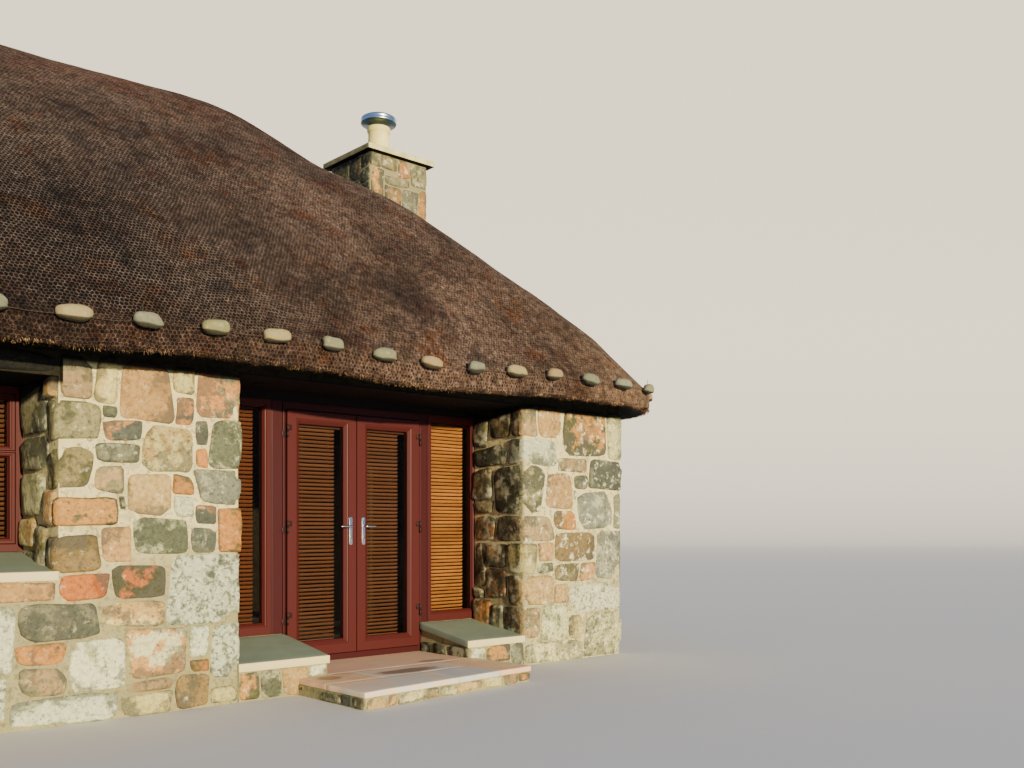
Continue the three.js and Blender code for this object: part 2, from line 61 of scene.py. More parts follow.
# Colours are written as hex and used as linear light
def tone(code):
    parts = [int(code[i:i + 2], 16) / 255 for i in (0, 2, 4)]
    return (*(p / 12.92 if p <= 0.04045 else ((p + 0.055) / 1.055) ** 2.4 for p in parts), 1.0)


class Wire:
    # A socket of a finish: arithmetic on it adds Math nodes
    def __init__(self, finish, socket):
        self.finish = finish
        self.socket = socket

    def __add__(self, other):
        return self.finish.math("ADD", self, other)

    def __sub__(self, other):
        return self.finish.math("SUBTRACT", self, other)

    def __rsub__(self, other):
        return self.finish.math("SUBTRACT", other, self)

    def __mul__(self, other):
        return self.finish.math("MULTIPLY", self, other)

    def __lt__(self, other):
        return self.finish.math("LESS_THAN", self, other)

    def __gt__(self, other):
        return self.finish.math("GREATER_THAN", self, other)

    __radd__ = __add__
    __rmul__ = __mul__


class Finish:
    def __init__(self, name):
        self.material = bpy.data.materials.new(name)
        self.material.use_nodes = True
        self.tree = self.material.node_tree
        self.tree.nodes.clear()

    def node(self, kind, settings=None, sockets=None, out=0):
        made = self.tree.nodes.new("ShaderNode" + kind)
        for key, value in (settings or {}).items():
            if key == "stops":
                ramp = made.color_ramp.elements
                while len(ramp) < len(value):
                    ramp.new(0.5)
                for stop, (place, colour) in zip(ramp, value):
                    stop.position, stop.color = place, tone(colour)
            else:
                setattr(made, key, value)
        for key, value in (sockets or {}).items():
            if isinstance(value, Wire):
                self.tree.links.new(value.socket, made.inputs[key])
            else:
                made.inputs[key].default_value = tone(value) if isinstance(value, str) else value
        return Wire(self, made.outputs[out]) if made.outputs else made

    def math(self, operation, *values):
        return self.node("Math", {"operation": operation}, dict(enumerate(values)))

    def vector(self, operation, *values, out=0):
        return self.node("VectorMath", {"operation": operation}, dict(enumerate(values)), out)

    def mix(self, share, first, second, mode="MIX"):
        return self.node("Mix", {"data_type": "RGBA", "blend_type": mode}, {0: share, 6: first, 7: second}, 2)

    def ramp(self, value, *stops):
        return self.node("ValToRGB", {"stops": stops}, {"Fac": value})

    def tint(self, label, out="Color"):
        return self.node("Attribute", {"attribute_name": label}, out=out)

    def place(self, stretch=(1, 1, 1)):
        return self.vector("MULTIPLY", self.node("TexCoord", out="Object"), stretch)

    def axis(self, spot, letter):
        return self.node("SeparateXYZ", None, {"Vector": spot}, letter)

    def reach(self, spot, letter):
        return self.math("ABSOLUTE", self.axis(spot, letter))

    def noise(self, spot, scale, detail=3.0, rough=0.55, out=0):
        grain = {"Vector": spot, "Scale": scale, "Detail": detail, "Roughness": rough}
        return self.node("TexNoise", None, grain, out)

    # Noise over a place moved aside, so that it doesn't follow another one
    def elsewhere(self, spot, aside, *grain):
        return self.noise(self.vector("ADD", spot, aside), *grain)

    def edge(self, value, low, high):
        return self.node("MapRange", {"interpolation_type": "SMOOTHSTEP"},
                         {"Value": value, "From Min": low, "From Max": high})

    # Share of the surface that faces against an axis
    def against(self, letter, low, high):
        return self.edge(0 - self.axis(self.node("NewGeometry", out="Normal"), letter), low, high)

    def bump(self, height, depth, strength):
        return self.node("Bump", None, {"Height": height, "Distance": depth, "Strength": strength})

    def done(self, **sockets):
        named = {key.replace("_", " "): value for key, value in sockets.items()}
        shader = self.node("BsdfPrincipled", None, named)
        self.node("OutputMaterial", None, {"Surface": shader})
        return self.material


# Smooth random values from -1 to 1 over points in space
def drift(points, size, seed=0):
    spot = np.asarray(points, float) / size + seed * 7.31
    corner = np.floor(spot).astype(np.int64)
    part = spot - corner
    part = part * part * (3 - 2 * part)
    total = np.zeros(spot.shape[:-1])
    for step in np.ndindex(2, 2, 2):
        x, y, z = np.moveaxis(corner + step, -1, 0)
        key = x * 73856093 ^ y * 19349663 ^ z * 83492791 ^ seed * 265443
        key = (key ^ (key >> 13)) * 1274126177
        value = ((key ^ (key >> 16)) & 65535) / 32767.5 - 1
        total += value * np.abs(1 - np.array(step) - part).prod(-1)
    return total


class Shape:
    # Collects points and faces, then becomes one piece
    def __init__(self):
        self.points = []
        self.faces = []
        self.tints = []
        self.spots = []
        self.count = 0

    def add(self, points, faces, tints=None):
        points = np.asarray(points, float).reshape(-1, 3)
        faces = np.asarray(faces, int)
        self.points.append(points)
        self.faces.append(faces.reshape(-1, faces.shape[-1]) + self.count)
        if tints is not None:
            self.tints.append(np.broadcast_to(tints, (len(points), 8)))
        self.count += len(points)
        return self

    def piece(self, name, material, body="house", slot=None, smooth=True):
        mesh = bpy.data.meshes.new(name)
        corners = [face.ravel() for face in self.faces]
        sizes = np.concatenate([np.full(len(face), face.shape[1]) for face in self.faces])
        mesh.vertices.add(self.count)
        mesh.vertices.foreach_set("co", np.concatenate(self.points).ravel())
        mesh.loops.add(int(sizes.sum()))
        mesh.loops.foreach_set("vertex_index", np.concatenate(corners))
        mesh.polygons.add(len(sizes))
        mesh.polygons.foreach_set("loop_start", np.concatenate([[0], np.cumsum(sizes)[:-1]]))
        mesh.polygons.foreach_set("use_smooth", np.full(len(sizes), smooth))
        if self.tints:
            tints = np.concatenate(self.tints)
            for label, part in (("tint", tints[:, :4]), ("patch", tints[:, 4:])):
                layer = mesh.color_attributes.new(label, "FLOAT_COLOR", "POINT")
                layer.data.foreach_set("color", np.ascontiguousarray(part).ravel())
        if self.spots:
            layer = mesh.uv_layers.new(name="surface")
            layer.data.foreach_set("uv", np.concatenate(self.spots).ravel())
        mesh.update(calc_edges=True)
        mesh.validate()
        mesh.materials.append(material)
        made = bpy.data.objects.new(name, mesh)
        scene.collection.objects.link(made)
        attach(made, body)
        return made


# A tint for all points of a shape in one colour
def plainTint(colour, share=1):
    return np.array([*colour[:3], share, 0, 0, 0, 0])


# Stops with even steps of about the given size between them
def lines(stops, step):
    parts = []
    for a, b in zip(stops, stops[1:]):
        count = max(1, round((b - a) / step))
        parts.append(np.linspace(a, b, count + 1)[:-1])
    return np.concatenate(parts + [[stops[-1]]])


# Equal steps round a full turn
def fullTurn(count):
    return np.arange(count) / count * 2 * math.pi


# Sines and cosines bent towards a square, so that an ellipse gets fuller corners
def squared(value, power):
    return np.sign(value) * np.abs(value) ** power


# Faces between the rows of an open grid of points
def openFaces(rows, count):
    index = np.arange(rows * count).reshape(rows, count)
    return np.stack([index[:-1, :-1], index[1:, :-1], index[1:, 1:], index[:-1, 1:]], -1)


# Faces between rows of points that each close into a ring
def ringFaces(rows, count):
    here = np.arange(count)
    after = (here + 1) % count
    base = np.arange(rows - 1)[:, None] * count
    return np.stack([base + here, base + after, base + count + after, base + count + here], -1).reshape(-1, 4)


# Triangles over the first and the last ring, to the points numbered foot and top
def fans(rows, count, foot, top):
    here = np.arange(count)
    after = (here + 1) % count
    last = (rows - 1) * count
    return np.concatenate([np.stack([after, here, np.full(count, foot)], -1),
                           np.stack([here + last, after + last, np.full(count, top)], -1)])


# Triangles of a skin through rings, closed at both ends
def skinFaces(rows, count, foot, top):
    sides = ringFaces(rows, count)
    return np.concatenate([sides[:, [0, 1, 2]], sides[:, [0, 2, 3]], fans(rows, count, foot, top)])


# A block with rounded edges and a grid on its faces, so that it can be worn and bent
def wornBlock(shape, low, high, rounding=0.006, step=0.08, wear=0.0, bend=None, tints=None, seed=0):
    low, high = np.array(low, float), np.array(high, float)
    rounding = min(rounding, (high - low).min() * 0.45)
    axes = []
    for a, b in zip(low, high):
        near = [a, a + rounding * 0.3, a + rounding]
        far = [b - rounding, b - rounding * 0.3, b]
        inner = lines([a + rounding, b - rounding], step)[1:-1]
        axes.append(np.concatenate([near, inner, far]))
    keys, faces, number = [], [], 0
    for axis in range(3):
        u, v = (axis + 1) % 3, (axis + 2) % 3
        nu, nv = len(axes[u]), len(axes[v])
        for end in (0, len(axes[axis]) - 1):
            key = np.zeros((nu, nv, 3), int)
            key[..., u], key[..., v] = np.indices((nu, nv))
            key[..., axis] = end
            face = openFaces(nu, nv).reshape(-1, 4) + number
            faces.append(face if end else face[:, ::-1])
            keys.append(key.reshape(-1, 3))
            number += nu * nv
    unique, where = np.unique(np.concatenate(keys), axis=0, return_inverse=True)
    points = np.stack([axes[a][unique[:, a]] for a in range(3)], -1)
    core = np.clip(points, low + rounding, high - rounding)
    away = points - core
    length = np.linalg.norm(away, axis=1, keepdims=True)
    outward = away / np.maximum(length, 1e-9)
    points = np.where(length > 1e-9, core + outward * np.minimum(rounding, length * 9), points)
    if wear:
        rough = drift(points, 0.16, seed + 3) * 0.6 + drift(points, 0.045, seed + 5) * 0.4
        points = points + outward * (rough * wear)[:, None]
    if bend:
        points = bend(points)
    return shape.add(points, where.ravel()[np.concatenate(faces)], tints)


# A profile of (radius, height) turned about an upright line
def turned(shape, profile, x, y, around=48):
    profile = np.array(profile, float)
    turn = fullTurn(around)
    ring = np.stack([np.cos(turn), np.sin(turn)], -1)
    points = np.concatenate([profile[:, None, :1] * ring[None] + (x, y),
                             np.repeat(profile[:, None, 1:], around, 1)], -1)
    return shape.add(points, ringFaces(len(profile), around))


# A round bar through points, with closed ends
def bar(shape, path, radius, sides=8, tints=None):
    path = np.array(path, float)
    count = len(path)
    radii = np.broadcast_to(np.array(radius, float), (count,))
    way = np.gradient(path, axis=0)
    way /= np.linalg.norm(way, axis=1, keepdims=True)
    side = np.cross(way, np.linalg.svd(way)[2][-1])
    side /= np.linalg.norm(side, axis=1, keepdims=True)
    up = np.cross(side, way)
    turn = fullTurn(sides)[:, None]
    ring = side[:, None] * np.cos(turn) + up[:, None] * np.sin(turn)
    first = shape.count
    shape.add(path[:, None] + ring * radii[:, None, None], ringFaces(count, sides)[:, ::-1], tints)
    caps = fans(count, sides, sides * count, sides * count + 1)[:, ::-1]
    return shape.add(path[[0, -1]], caps - (shape.count - first), tints)


# A frame round an opening, mitred at its corners. The profile runs from the outer back edge over the front to
# the inner back edge, as (distance from the opening's edge, y); None is the frame's full width on that side.
def mitredFrame(shape, outer, inner, profile):
    (ox0, ox1, oz0, oz1), (ix0, ix1, iz0, iz1) = outer, inner
    widths = (ix0 - ox0, ox1 - ix1, iz0 - oz0, oz1 - iz1)
    points, faces, count = [], [], len(profile)
    rows = []
    for distance, y in profile:
        a, b, c, d = [width if distance is None else min(distance, width) for width in widths]
        x0, x1, z0, z1 = ix0 - a, ix1 + b, iz0 - c, iz1 + d
        rows.append([(x0, y, z0), (x1, y, z0), (x1, y, z1), (x0, y, z1)])
    for k in range(4):
        base = k * 2 * count
        for i, row in enumerate(rows):
            points += [row[k], row[(k + 1) % 4]]
            here, after = base + 2 * i, base + 2 * ((i + 1) % count)
            faces.append([here, after, after + 1, here + 1])
    return shape.add(points, faces)


# Masonry

masonry = {
    "lattice": 0.05,            # stones are laid out on a lattice of about this step
    "joint": (0.002, 0.010),    # what each side of a stone gives to its joint
    "proud": (0.016, 0.032),    # how far stones stand out, and the mortar between them
    "mortarProud": 0.008,
    "mortarStep": 0.075,
    "corner": 0.019,            # radius of the wall's own corners
    "gather": 0.08,             # how far from a corner points are drawn towards it
    "sway": 0.016,              # how far joints wander
    "revealScale": 1.5,         # how much further the stones of a reveal stand out
    "square": (0.15, 0.42),     # how round each quarter of an outline is, where 1 is an ellipse
    "lean": 0.1,
    "taper": 0.09,
    "break": (0.98, 1.5),       # where a corner is knocked off, as a share of the half size
    "facet": ((0.25, 0.85), (0.02, 0.20)),      # where a facet starts, and how steeply it falls
    "cut": {"near": (26, 44), "small": (20, 32), "far": (14, 32)},  # points round a stone, and at a corner
    # Sizes of the wall's stones in steps of the lattice, in the order in which they are tried
    "sizes": ((8, 5), (7, 5), (6, 5), (7, 4), (6, 4), (5, 5), (5, 4), (4, 5), (5, 3), (4, 4), (4, 3), (3, 4),
              (3, 3)),
    # Rings of a stone from its foot inwards: inset in metres, or from 0.15 as a share, and height as a share
    "rings": ((0.0, -0.012), (0.0, 0.35), (0.004, 0.72), (0.011, 0.93), (0.3, 1.0), (0.62, 1.03)),
    "fewRings": ((0.0, -0.012), (0.0, 0.5), (0.010, 0.92), (0.45, 1.02)),
    "cornerRings": ((0.0, -0.012), (0.0, 0.5), (0.006, 0.85), (0.15, 0.97), (0.27, 1.0), (0.39, 1.02),
                    (0.51, 1.03), (0.63, 1.03), (0.75, 1.03), (0.88, 1.03)),
    "rim": (0.14, 0.14, 0.12, 0.08),    # more of a stone's second colour in its outer rings
    "shadeLine": (2.180, 2.215),        # heights between which shade is painted on the wall under the eave
    "wallZone": 2.6,                    # only the chimney's stones lie above this
    "groundZone": 0.55,                 # more white stones lie below this
}

# Stone kinds: main colour, colour of its patches, share of patches, amount of dark speckle
kinds = {
    "peach": ("cda27c", "b99070", 0.25, 0.15),
    "orange": ("c98a5c", "8d7358", 0.24, 0.15),
    "brick": ("c57349", "a95c3b", 0.25, 0.10),
    "redDark": ("b5694c", "4f504c", 0.45, 0.15),
    "orangeDark": ("cd9668", "5f6153", 0.30, 0.20),
    "darkOrange": ("5d5f58", "c28a5c", 0.42, 0.15),
    "peachSpeckle": ("c9a57c", "e0cc9e", 0.38, 0.45),
    "tan": ("cbab84", "ba9a76", 0.20, 0.08),
    "buff": ("ccbd8f", "a99d78", 0.25, 0.15),
    "paleBuff": ("dccf9f", "cbb684", 0.25, 0.10),
    "cream": ("dbd3ac", "a8a588", 0.30, 0.25),
    "buffGrey": ("a89f82", "6b6b5a", 0.38, 0.25),
    "brownGrey": ("97896c", "68634f", 0.35, 0.30),
    "brown": ("977e60", "7f6c54", 0.30, 0.35),
    "grey": ("8f8d7c", "6a6c60", 0.30, 0.25),
    "darkGrey": ("5f6259", "83816e", 0.30, 0.30),
    "lichenDark": ("686c5c", "b2b295", 0.35, 0.55),
    "blueGrey": ("8b8c80", "b6b4a0", 0.35, 0.30),
    "white": ("e2e2cb", "acae96", 0.20, 0.30),
    "whiteSpeckle": ("dddfc9", "83867a", 0.12, 0.80),
    "whiteOrange": ("dad4b6", "cd9b68", 0.40, 0.30),
    "greyOrange": ("807d6a", "cc9161", 0.50, 0.20),
    "pinkGrey": ("b5977c", "908673", 0.35, 0.20),
}
wallKinds = (
    "peach", "orange", "orangeDark", "peachSpeckle", "tan", "buff", "paleBuff", "cream", "buffGrey",
    "brownGrey", "brown", "grey", "darkGrey", "lichenDark", "blueGrey", "white", "whiteSpeckle",
    "greyOrange", "pinkGrey",
)
lowKinds = (
    "white", "whiteSpeckle", "cream", "whiteOrange", "lichenDark", "brown", "grey", "orange", "pinkGrey",
)

# Main stones of the two front piers: kind, left, right, bottom and top in metres
pierStones = (
    ("pinkGrey", -0.14, 0.00, 1.99, 2.17), ("paleBuff", 0.06, 0.23, 1.99, 2.17),
    ("peach", 0.25, 0.50, 1.93, 2.20), ("paleBuff", 0.55, 0.73, 2.06, 2.20),
    ("darkOrange", 0.58, 0.71, 1.94, 2.03), ("greyOrange", 0.75, 1.13, 1.95, 2.18),
    ("buffGrey", -0.30, 0.11, 1.71, 1.96), ("darkOrange", 0.20, 0.39, 1.72, 1.86),
    ("peachSpeckle", 0.42, 0.74, 1.57, 1.83), ("darkGrey", 0.73, 0.83, 1.74, 1.84),
    ("lichenDark", 0.85, 1.15, 1.63, 1.92), ("orange", 0.77, 0.84, 1.62, 1.71),
    ("brownGrey", -0.30, 0.07, 1.43, 1.68), ("grey", 0.10, 0.33, 1.57, 1.69),
    ("pinkGrey", 0.10, 0.25, 1.41, 1.54), ("tan", 0.28, 0.54, 1.28, 1.54),
    ("orange", 0.57, 0.68, 1.44, 1.54), ("white", 0.55, 0.71, 1.30, 1.40),
    ("blueGrey", 0.72, 1.20, 1.35, 1.58), ("orangeDark", -0.16, 0.22, 1.19, 1.39),
    ("lichenDark", 0.31, 0.67, 1.00, 1.25), ("darkOrange", 0.71, 0.87, 1.19, 1.32),
    ("darkGrey", 0.70, 0.87, 1.00, 1.15), ("orange", 0.90, 1.10, 1.02, 1.33),
    ("brown", -0.30, 0.12, 0.93, 1.16), ("peach", 0.16, 0.28, 1.01, 1.16),
    ("redDark", 0.17, 0.46, 0.79, 0.96), ("brick", -0.14, 0.15, 0.74, 0.88),
    ("whiteSpeckle", 0.52, 1.20, 0.59, 0.98), ("peachSpeckle", 0.15, 0.50, 0.53, 0.75),
    ("darkGrey", -0.34, 0.06, 0.52, 0.71), ("orange", -0.32, -0.14, 0.39, 0.51),
    ("white", -0.07, 0.22, 0.25, 0.50), ("whiteOrange", 0.26, 0.66, 0.27, 0.55),
    ("white", 0.69, 0.78, 0.38, 0.52), ("orange", 0.67, 0.78, 0.23, 0.32),
    ("whiteSpeckle", 0.82, 1.15, 0.25, 0.53), ("pinkGrey", 0.33, 0.55, 0.16, 0.25),
    ("pinkGrey", -0.36, -0.14, 0.23, 0.33), ("white", -0.33, -0.01, 0.01, 0.20),
    ("white", 0.04, 0.43, 0.01, 0.19), ("buff", 0.44, 0.56, 0.08, 0.15), ("brown", 0.55, 0.85, 0.01, 0.22),
    ("white", -0.52, -0.37, 0.38, 0.60), ("peach", -0.34, -0.15, 0.76, 0.85),
    ("pinkGrey", 3.60, 3.83, 1.98, 2.18), ("peach", 3.91, 4.10, 1.99, 2.18),
    ("orangeDark", 4.21, 4.74, 1.86, 2.19), ("cream", 4.76, 5.05, 1.83, 2.20),
    ("white", 3.55, 4.06, 1.73, 1.95), ("pinkGrey", 4.13, 4.45, 1.71, 1.84),
    ("darkGrey", 4.48, 5.25, 1.52, 1.81), ("peach", 3.97, 4.31, 1.36, 1.67),
    ("darkGrey", 4.35, 4.46, 1.59, 1.69), ("buffGrey", 3.42, 3.94, 1.34, 1.70),
    ("blueGrey", 4.40, 4.81, 1.16, 1.50), ("grey", 4.83, 5.15, 1.16, 1.50),
    ("orange", 4.06, 4.29, 1.18, 1.34), ("pinkGrey", 3.42, 3.98, 1.06, 1.32),
    ("brown", 4.09, 4.53, 0.90, 1.14), ("blueGrey", 4.57, 5.25, 0.79, 1.11),
    ("buff", 3.55, 3.83, 0.76, 1.05), ("peach", 3.85, 4.03, 0.89, 1.05),
    ("lichenDark", 3.86, 4.01, 0.77, 0.86), ("brownGrey", 4.03, 4.37, 0.70, 0.87),
    ("peach", 4.42, 4.55, 0.77, 0.87), ("tan", 3.55, 3.98, 0.52, 0.72), ("tan", 4.03, 4.24, 0.51, 0.67),
    ("white", 4.27, 5.10, 0.41, 0.69), ("pinkGrey", 3.50, 3.84, 0.26, 0.46),
    ("cream", 3.90, 4.25, 0.22, 0.47), ("cream", 4.42, 5.20, 0.01, 0.35), ("cream", 3.91, 4.39, 0.01, 0.19),
    ("buff", 4.25, 4.41, 0.28, 0.39),
)


# Stones on the front of the chimney: kind, left and right on its face, bottom and top
chimneyStones = (
    ("buffGrey", -0.10, 0.13, 5.03, 5.17), ("brownGrey", 0.14, 0.35, 5.01, 5.15),
    ("orange", 0.38, 0.50, 4.99, 5.11), ("buffGrey", 0.53, 0.84, 4.92, 5.16),
    ("orangeDark", 0.02, 0.14, 4.73, 4.96), ("buffGrey", 0.18, 0.50, 4.88, 4.98),
    ("orangeDark", 0.24, 0.40, 4.66, 4.85), ("grey", 0.44, 0.61, 4.66, 4.89),
    ("orange", 0.64, 0.76, 4.60, 4.89), ("buff", 0.02, 0.20, 4.52, 4.70),
    ("brownGrey", 0.42, 0.62, 4.44, 4.62), ("buff", 0.64, 0.84, 4.40, 4.56),
)


class Run:
    # A wall face followed round its corners in plan; outward is on the right of the way along it
    def __init__(self, *plan):
        self.plan = np.array(plan, float)
        steps = np.diff(self.plan, axis=0)
        lengths = np.hypot(*steps.T)
        self.ends = np.concatenate([[0], np.cumsum(lengths)])
        self.ways = steps / lengths[:, None]
        self.outs = np.stack([self.ways[:, 1], -self.ways[:, 0]], 1)

    def legs(self, s):
        return np.clip(np.searchsorted(self.ends, s, side="right") - 1, 0, len(self.ways) - 1)

    def at(self, s, z, out):
        s, z, out = np.broadcast_arrays(s, z, out)
        leg = self.legs(s)
        along, aside = (s - self.ends[leg])[..., None], out[..., None]
        flat = self.plan[leg] + self.ways[leg] * along + self.outs[leg] * aside
        for i in range(1, len(self.ends) - 1):
            a, b = self.outs[i - 1], self.outs[i]
            angle = math.acos(float(np.clip(a @ b, -1, 1)))
            reach = masonry["corner"] * math.tan(angle / 2)
            near = np.abs(s - self.ends[i]) < reach
            if angle < 0.05 or not near.any():
                continue
            share = ((s[near] - self.ends[i]) / reach / 2 + 0.5)[:, None]
            outward = (a * np.sin((1 - share) * angle) + b * np.sin(share * angle)) / math.sin(angle)
            centre = self.plan[i] - masonry["corner"] * (a + b) / (1 + a @ b)
            flat[near] = centre + outward * (masonry["corner"] + out[near])[:, None]
        return np.concatenate([flat, z[..., None]], -1)


class Layout:
    # Stones laid out on the lattice of one run. used marks what is taken by a stone or an opening
    def __init__(self, run, sStops, zStops, seed, step=masonry["lattice"]):
        self.run = run
        self.chance = np.random.default_rng(seed)
        self.s = lines(sorted(sStops), step)
        self.z = lines(sorted(zStops), step * 0.94)
        self.used = np.zeros((len(self.s) - 1, len(self.z) - 1), bool)
        self.turns = {int(np.argmin(np.abs(self.s - corner))) for corner in run.ends[1:-1]}
        self.cells = []
        self.shared = []

    # Numbers of the lattice lines nearest to two distances and two heights
    def span(self, s0, s1, z0, z1):
        places = (self.s, s0), (self.s, s1), (self.z, z0), (self.z, z1)
        return [int(np.argmin(np.abs(axis - place))) for axis, place in places]

    def close(self, s0, s1, z0, z1):
        i, k, j, m = self.span(s0, s1, z0, z1)
        self.used[i:k, j:m] = True

    def take(self, i, k, j, m, kind=None):
        inside = 0 <= i < k < len(self.s) and 0 <= j < m < len(self.z)
        if inside and not self.used[i:k, j:m].any():
            self.used[i:k, j:m] = True
            self.cells.append([i, k, j, m, kind])

    def lay(self, s0, s1, z0, z1, kind=None):
        self.take(*self.span(s0, s1, z0, z1), kind)

    # Heights and reaches of the alternating long and short stones up a corner
    def courses(self, z0, z1):
        z, turn = z0, int(self.chance.integers(2))
        while z < z1 - 0.08:
            top = min(z + self.chance.uniform(0.15, 0.30), z1)
            if z1 - top < 0.1:
                top = z1
            reaches = self.chance.uniform(0.30, 0.46), self.chance.uniform(0.15, 0.24)
            yield z, top, reaches[turn % 2], reaches[1 - turn % 2]
            z, turn = top, turn + 1

    def corner(self, at, z0, z1, share=1.0):
        for bottom, top, before, after in self.courses(z0, z1):
            self.lay(at - before * share, at + after * share, bottom, top)

    # Corner stones of an opening, shared with the wall's own layout. into is 1 where the run turns in at the
    # corner and -1 where it comes out there
    def jamb(self, wall, wallCorner, corner, into, z0, z1):
        for bottom, top, onWall, onReveal in self.courses(z0, z1):
            i, k, j, m = wall.span(*sorted((wallCorner, wallCorner - into * onWall)), bottom, top)
            if m <= j or wall.used[i:k, j:m].any():
                continue
            wall.used[i:k, j:m] = True
            onWall = abs((wall.s[i] if into > 0 else wall.s[k]) - wallCorner)
            self.share(corner, into, onWall, onReveal, wall.z[j], wall.z[m])

    def share(self, corner, into, onWall, onReveal, bottom, top, kind=None):
        self.close(*sorted((corner, corner + into * onReveal)), bottom, top)
        ends = sorted((corner - into * onWall, corner + into * onReveal))
        self.shared.append((*ends, bottom, top, kind))

    # Lets every stone take a free strip beside it, never round a corner
    def grow(self, rounds):
        wide, tall = self.used.shape
        for _ in range(rounds):
            for index in self.chance.permutation(len(self.cells)):
                cell = self.cells[index]
                for way in self.chance.permutation(4):
                    i, k, j, m = cell[:4]
                    a, b, c, d = ((i - 1, i, j, m), (k, k + 1, j, m), (i, k, j - 1, j), (i, k, m, m + 1))[way]
                    turning = (way == 0 and i in self.turns) or (way == 1 and k in self.turns)
                    if a < 0 or c < 0 or b > wide or d > tall or turning or self.used[a:b, c:d].any():
                        continue
                    self.used[a:b, c:d] = True
                    cell[:4] = min(i, a), max(k, b), min(j, c), max(m, d)

    def fill(self, sizes=masonry["sizes"]):
        chance, used = self.chance, self.used
        ni, nj = used.shape
        self.grow(1)
        for w, h in sizes:
            for _ in range(int(ni * nj * 0.9 / (w * h))):
                i = int(chance.integers(0, max(1, ni - w + 1)))
                j = int(chance.integers(0, max(1, nj - h + 1)))
                if any(i < turn < i + w for turn in self.turns):
                    continue
                if chance.random() < (0.2 if w * h > 19 else 0.5 if w * h > 8 else 0.9):
                    self.take(i, i + w, j, j + h)
        self.grow(3)
        for j in range(nj):
            for i in range(ni):
                w = h = 1
                while w < 4 and i + w < ni and i + w not in self.turns and not used[i:i + w + 1, j].any():
                    w += 1
                while h < 3 and j + h < nj and not used[i:i + w, j:j + h + 1].any():
                    h += 1
                if w * h > 1 and chance.random() < (0.9 if min(w, h) > 1 else 0.35):
                    self.take(i, i + w, j, j + h)
        return self

    @property
    def stones(self):
        own = [(self.s[i], self.s[k], self.z[j], self.z[m], kind) for i, k, j, m, kind in self.cells]
        return own + self.shared


# Two colours of a stone, the share of its patches and its speckle, a little different for each stone
def tintOf(kind, chance):
    first, second, share, speckle = kinds[kind]
    value = chance.uniform(0.90, 1.20)
    warm = chance.uniform(0.96, 1.04)
    main, other = np.array(tone(first)[:3]), np.array(tone(second)[:3])
    blue = 0.92 - 0.36 * (1 - main[2] / main[0])
    shift = np.array([value * warm * 0.99, value * 1.02, value / warm * blue])
    return [*main * shift, share * chance.uniform(0.6, 1.3), *other * shift, speckle]


# Cuts the stones of a layout: uneven rounded outlines, faceted faces, set in the mortar
def cutStones(shape, run, stones, chance, cut, scale=1.0):
    turning = [any(s0 + 0.01 < end < s1 - 0.01 for end in run.ends[1:-1]) for s0, s1, *_ in stones]
    around, cornerAround = masonry["cut"][cut]
    rings = masonry["rings" if cut == "near" else "fewRings"]
    flatStones = [stone for stone, turns in zip(stones, turning) if not turns]
    cutGroup(shape, run, flatStones, chance, around, rings, scale)
    cornerStones = [stone for stone, turns in zip(stones, turning) if turns]
    cutGroup(shape, run, cornerStones, chance, cornerAround, masonry["cornerRings"], scale)
    return shape


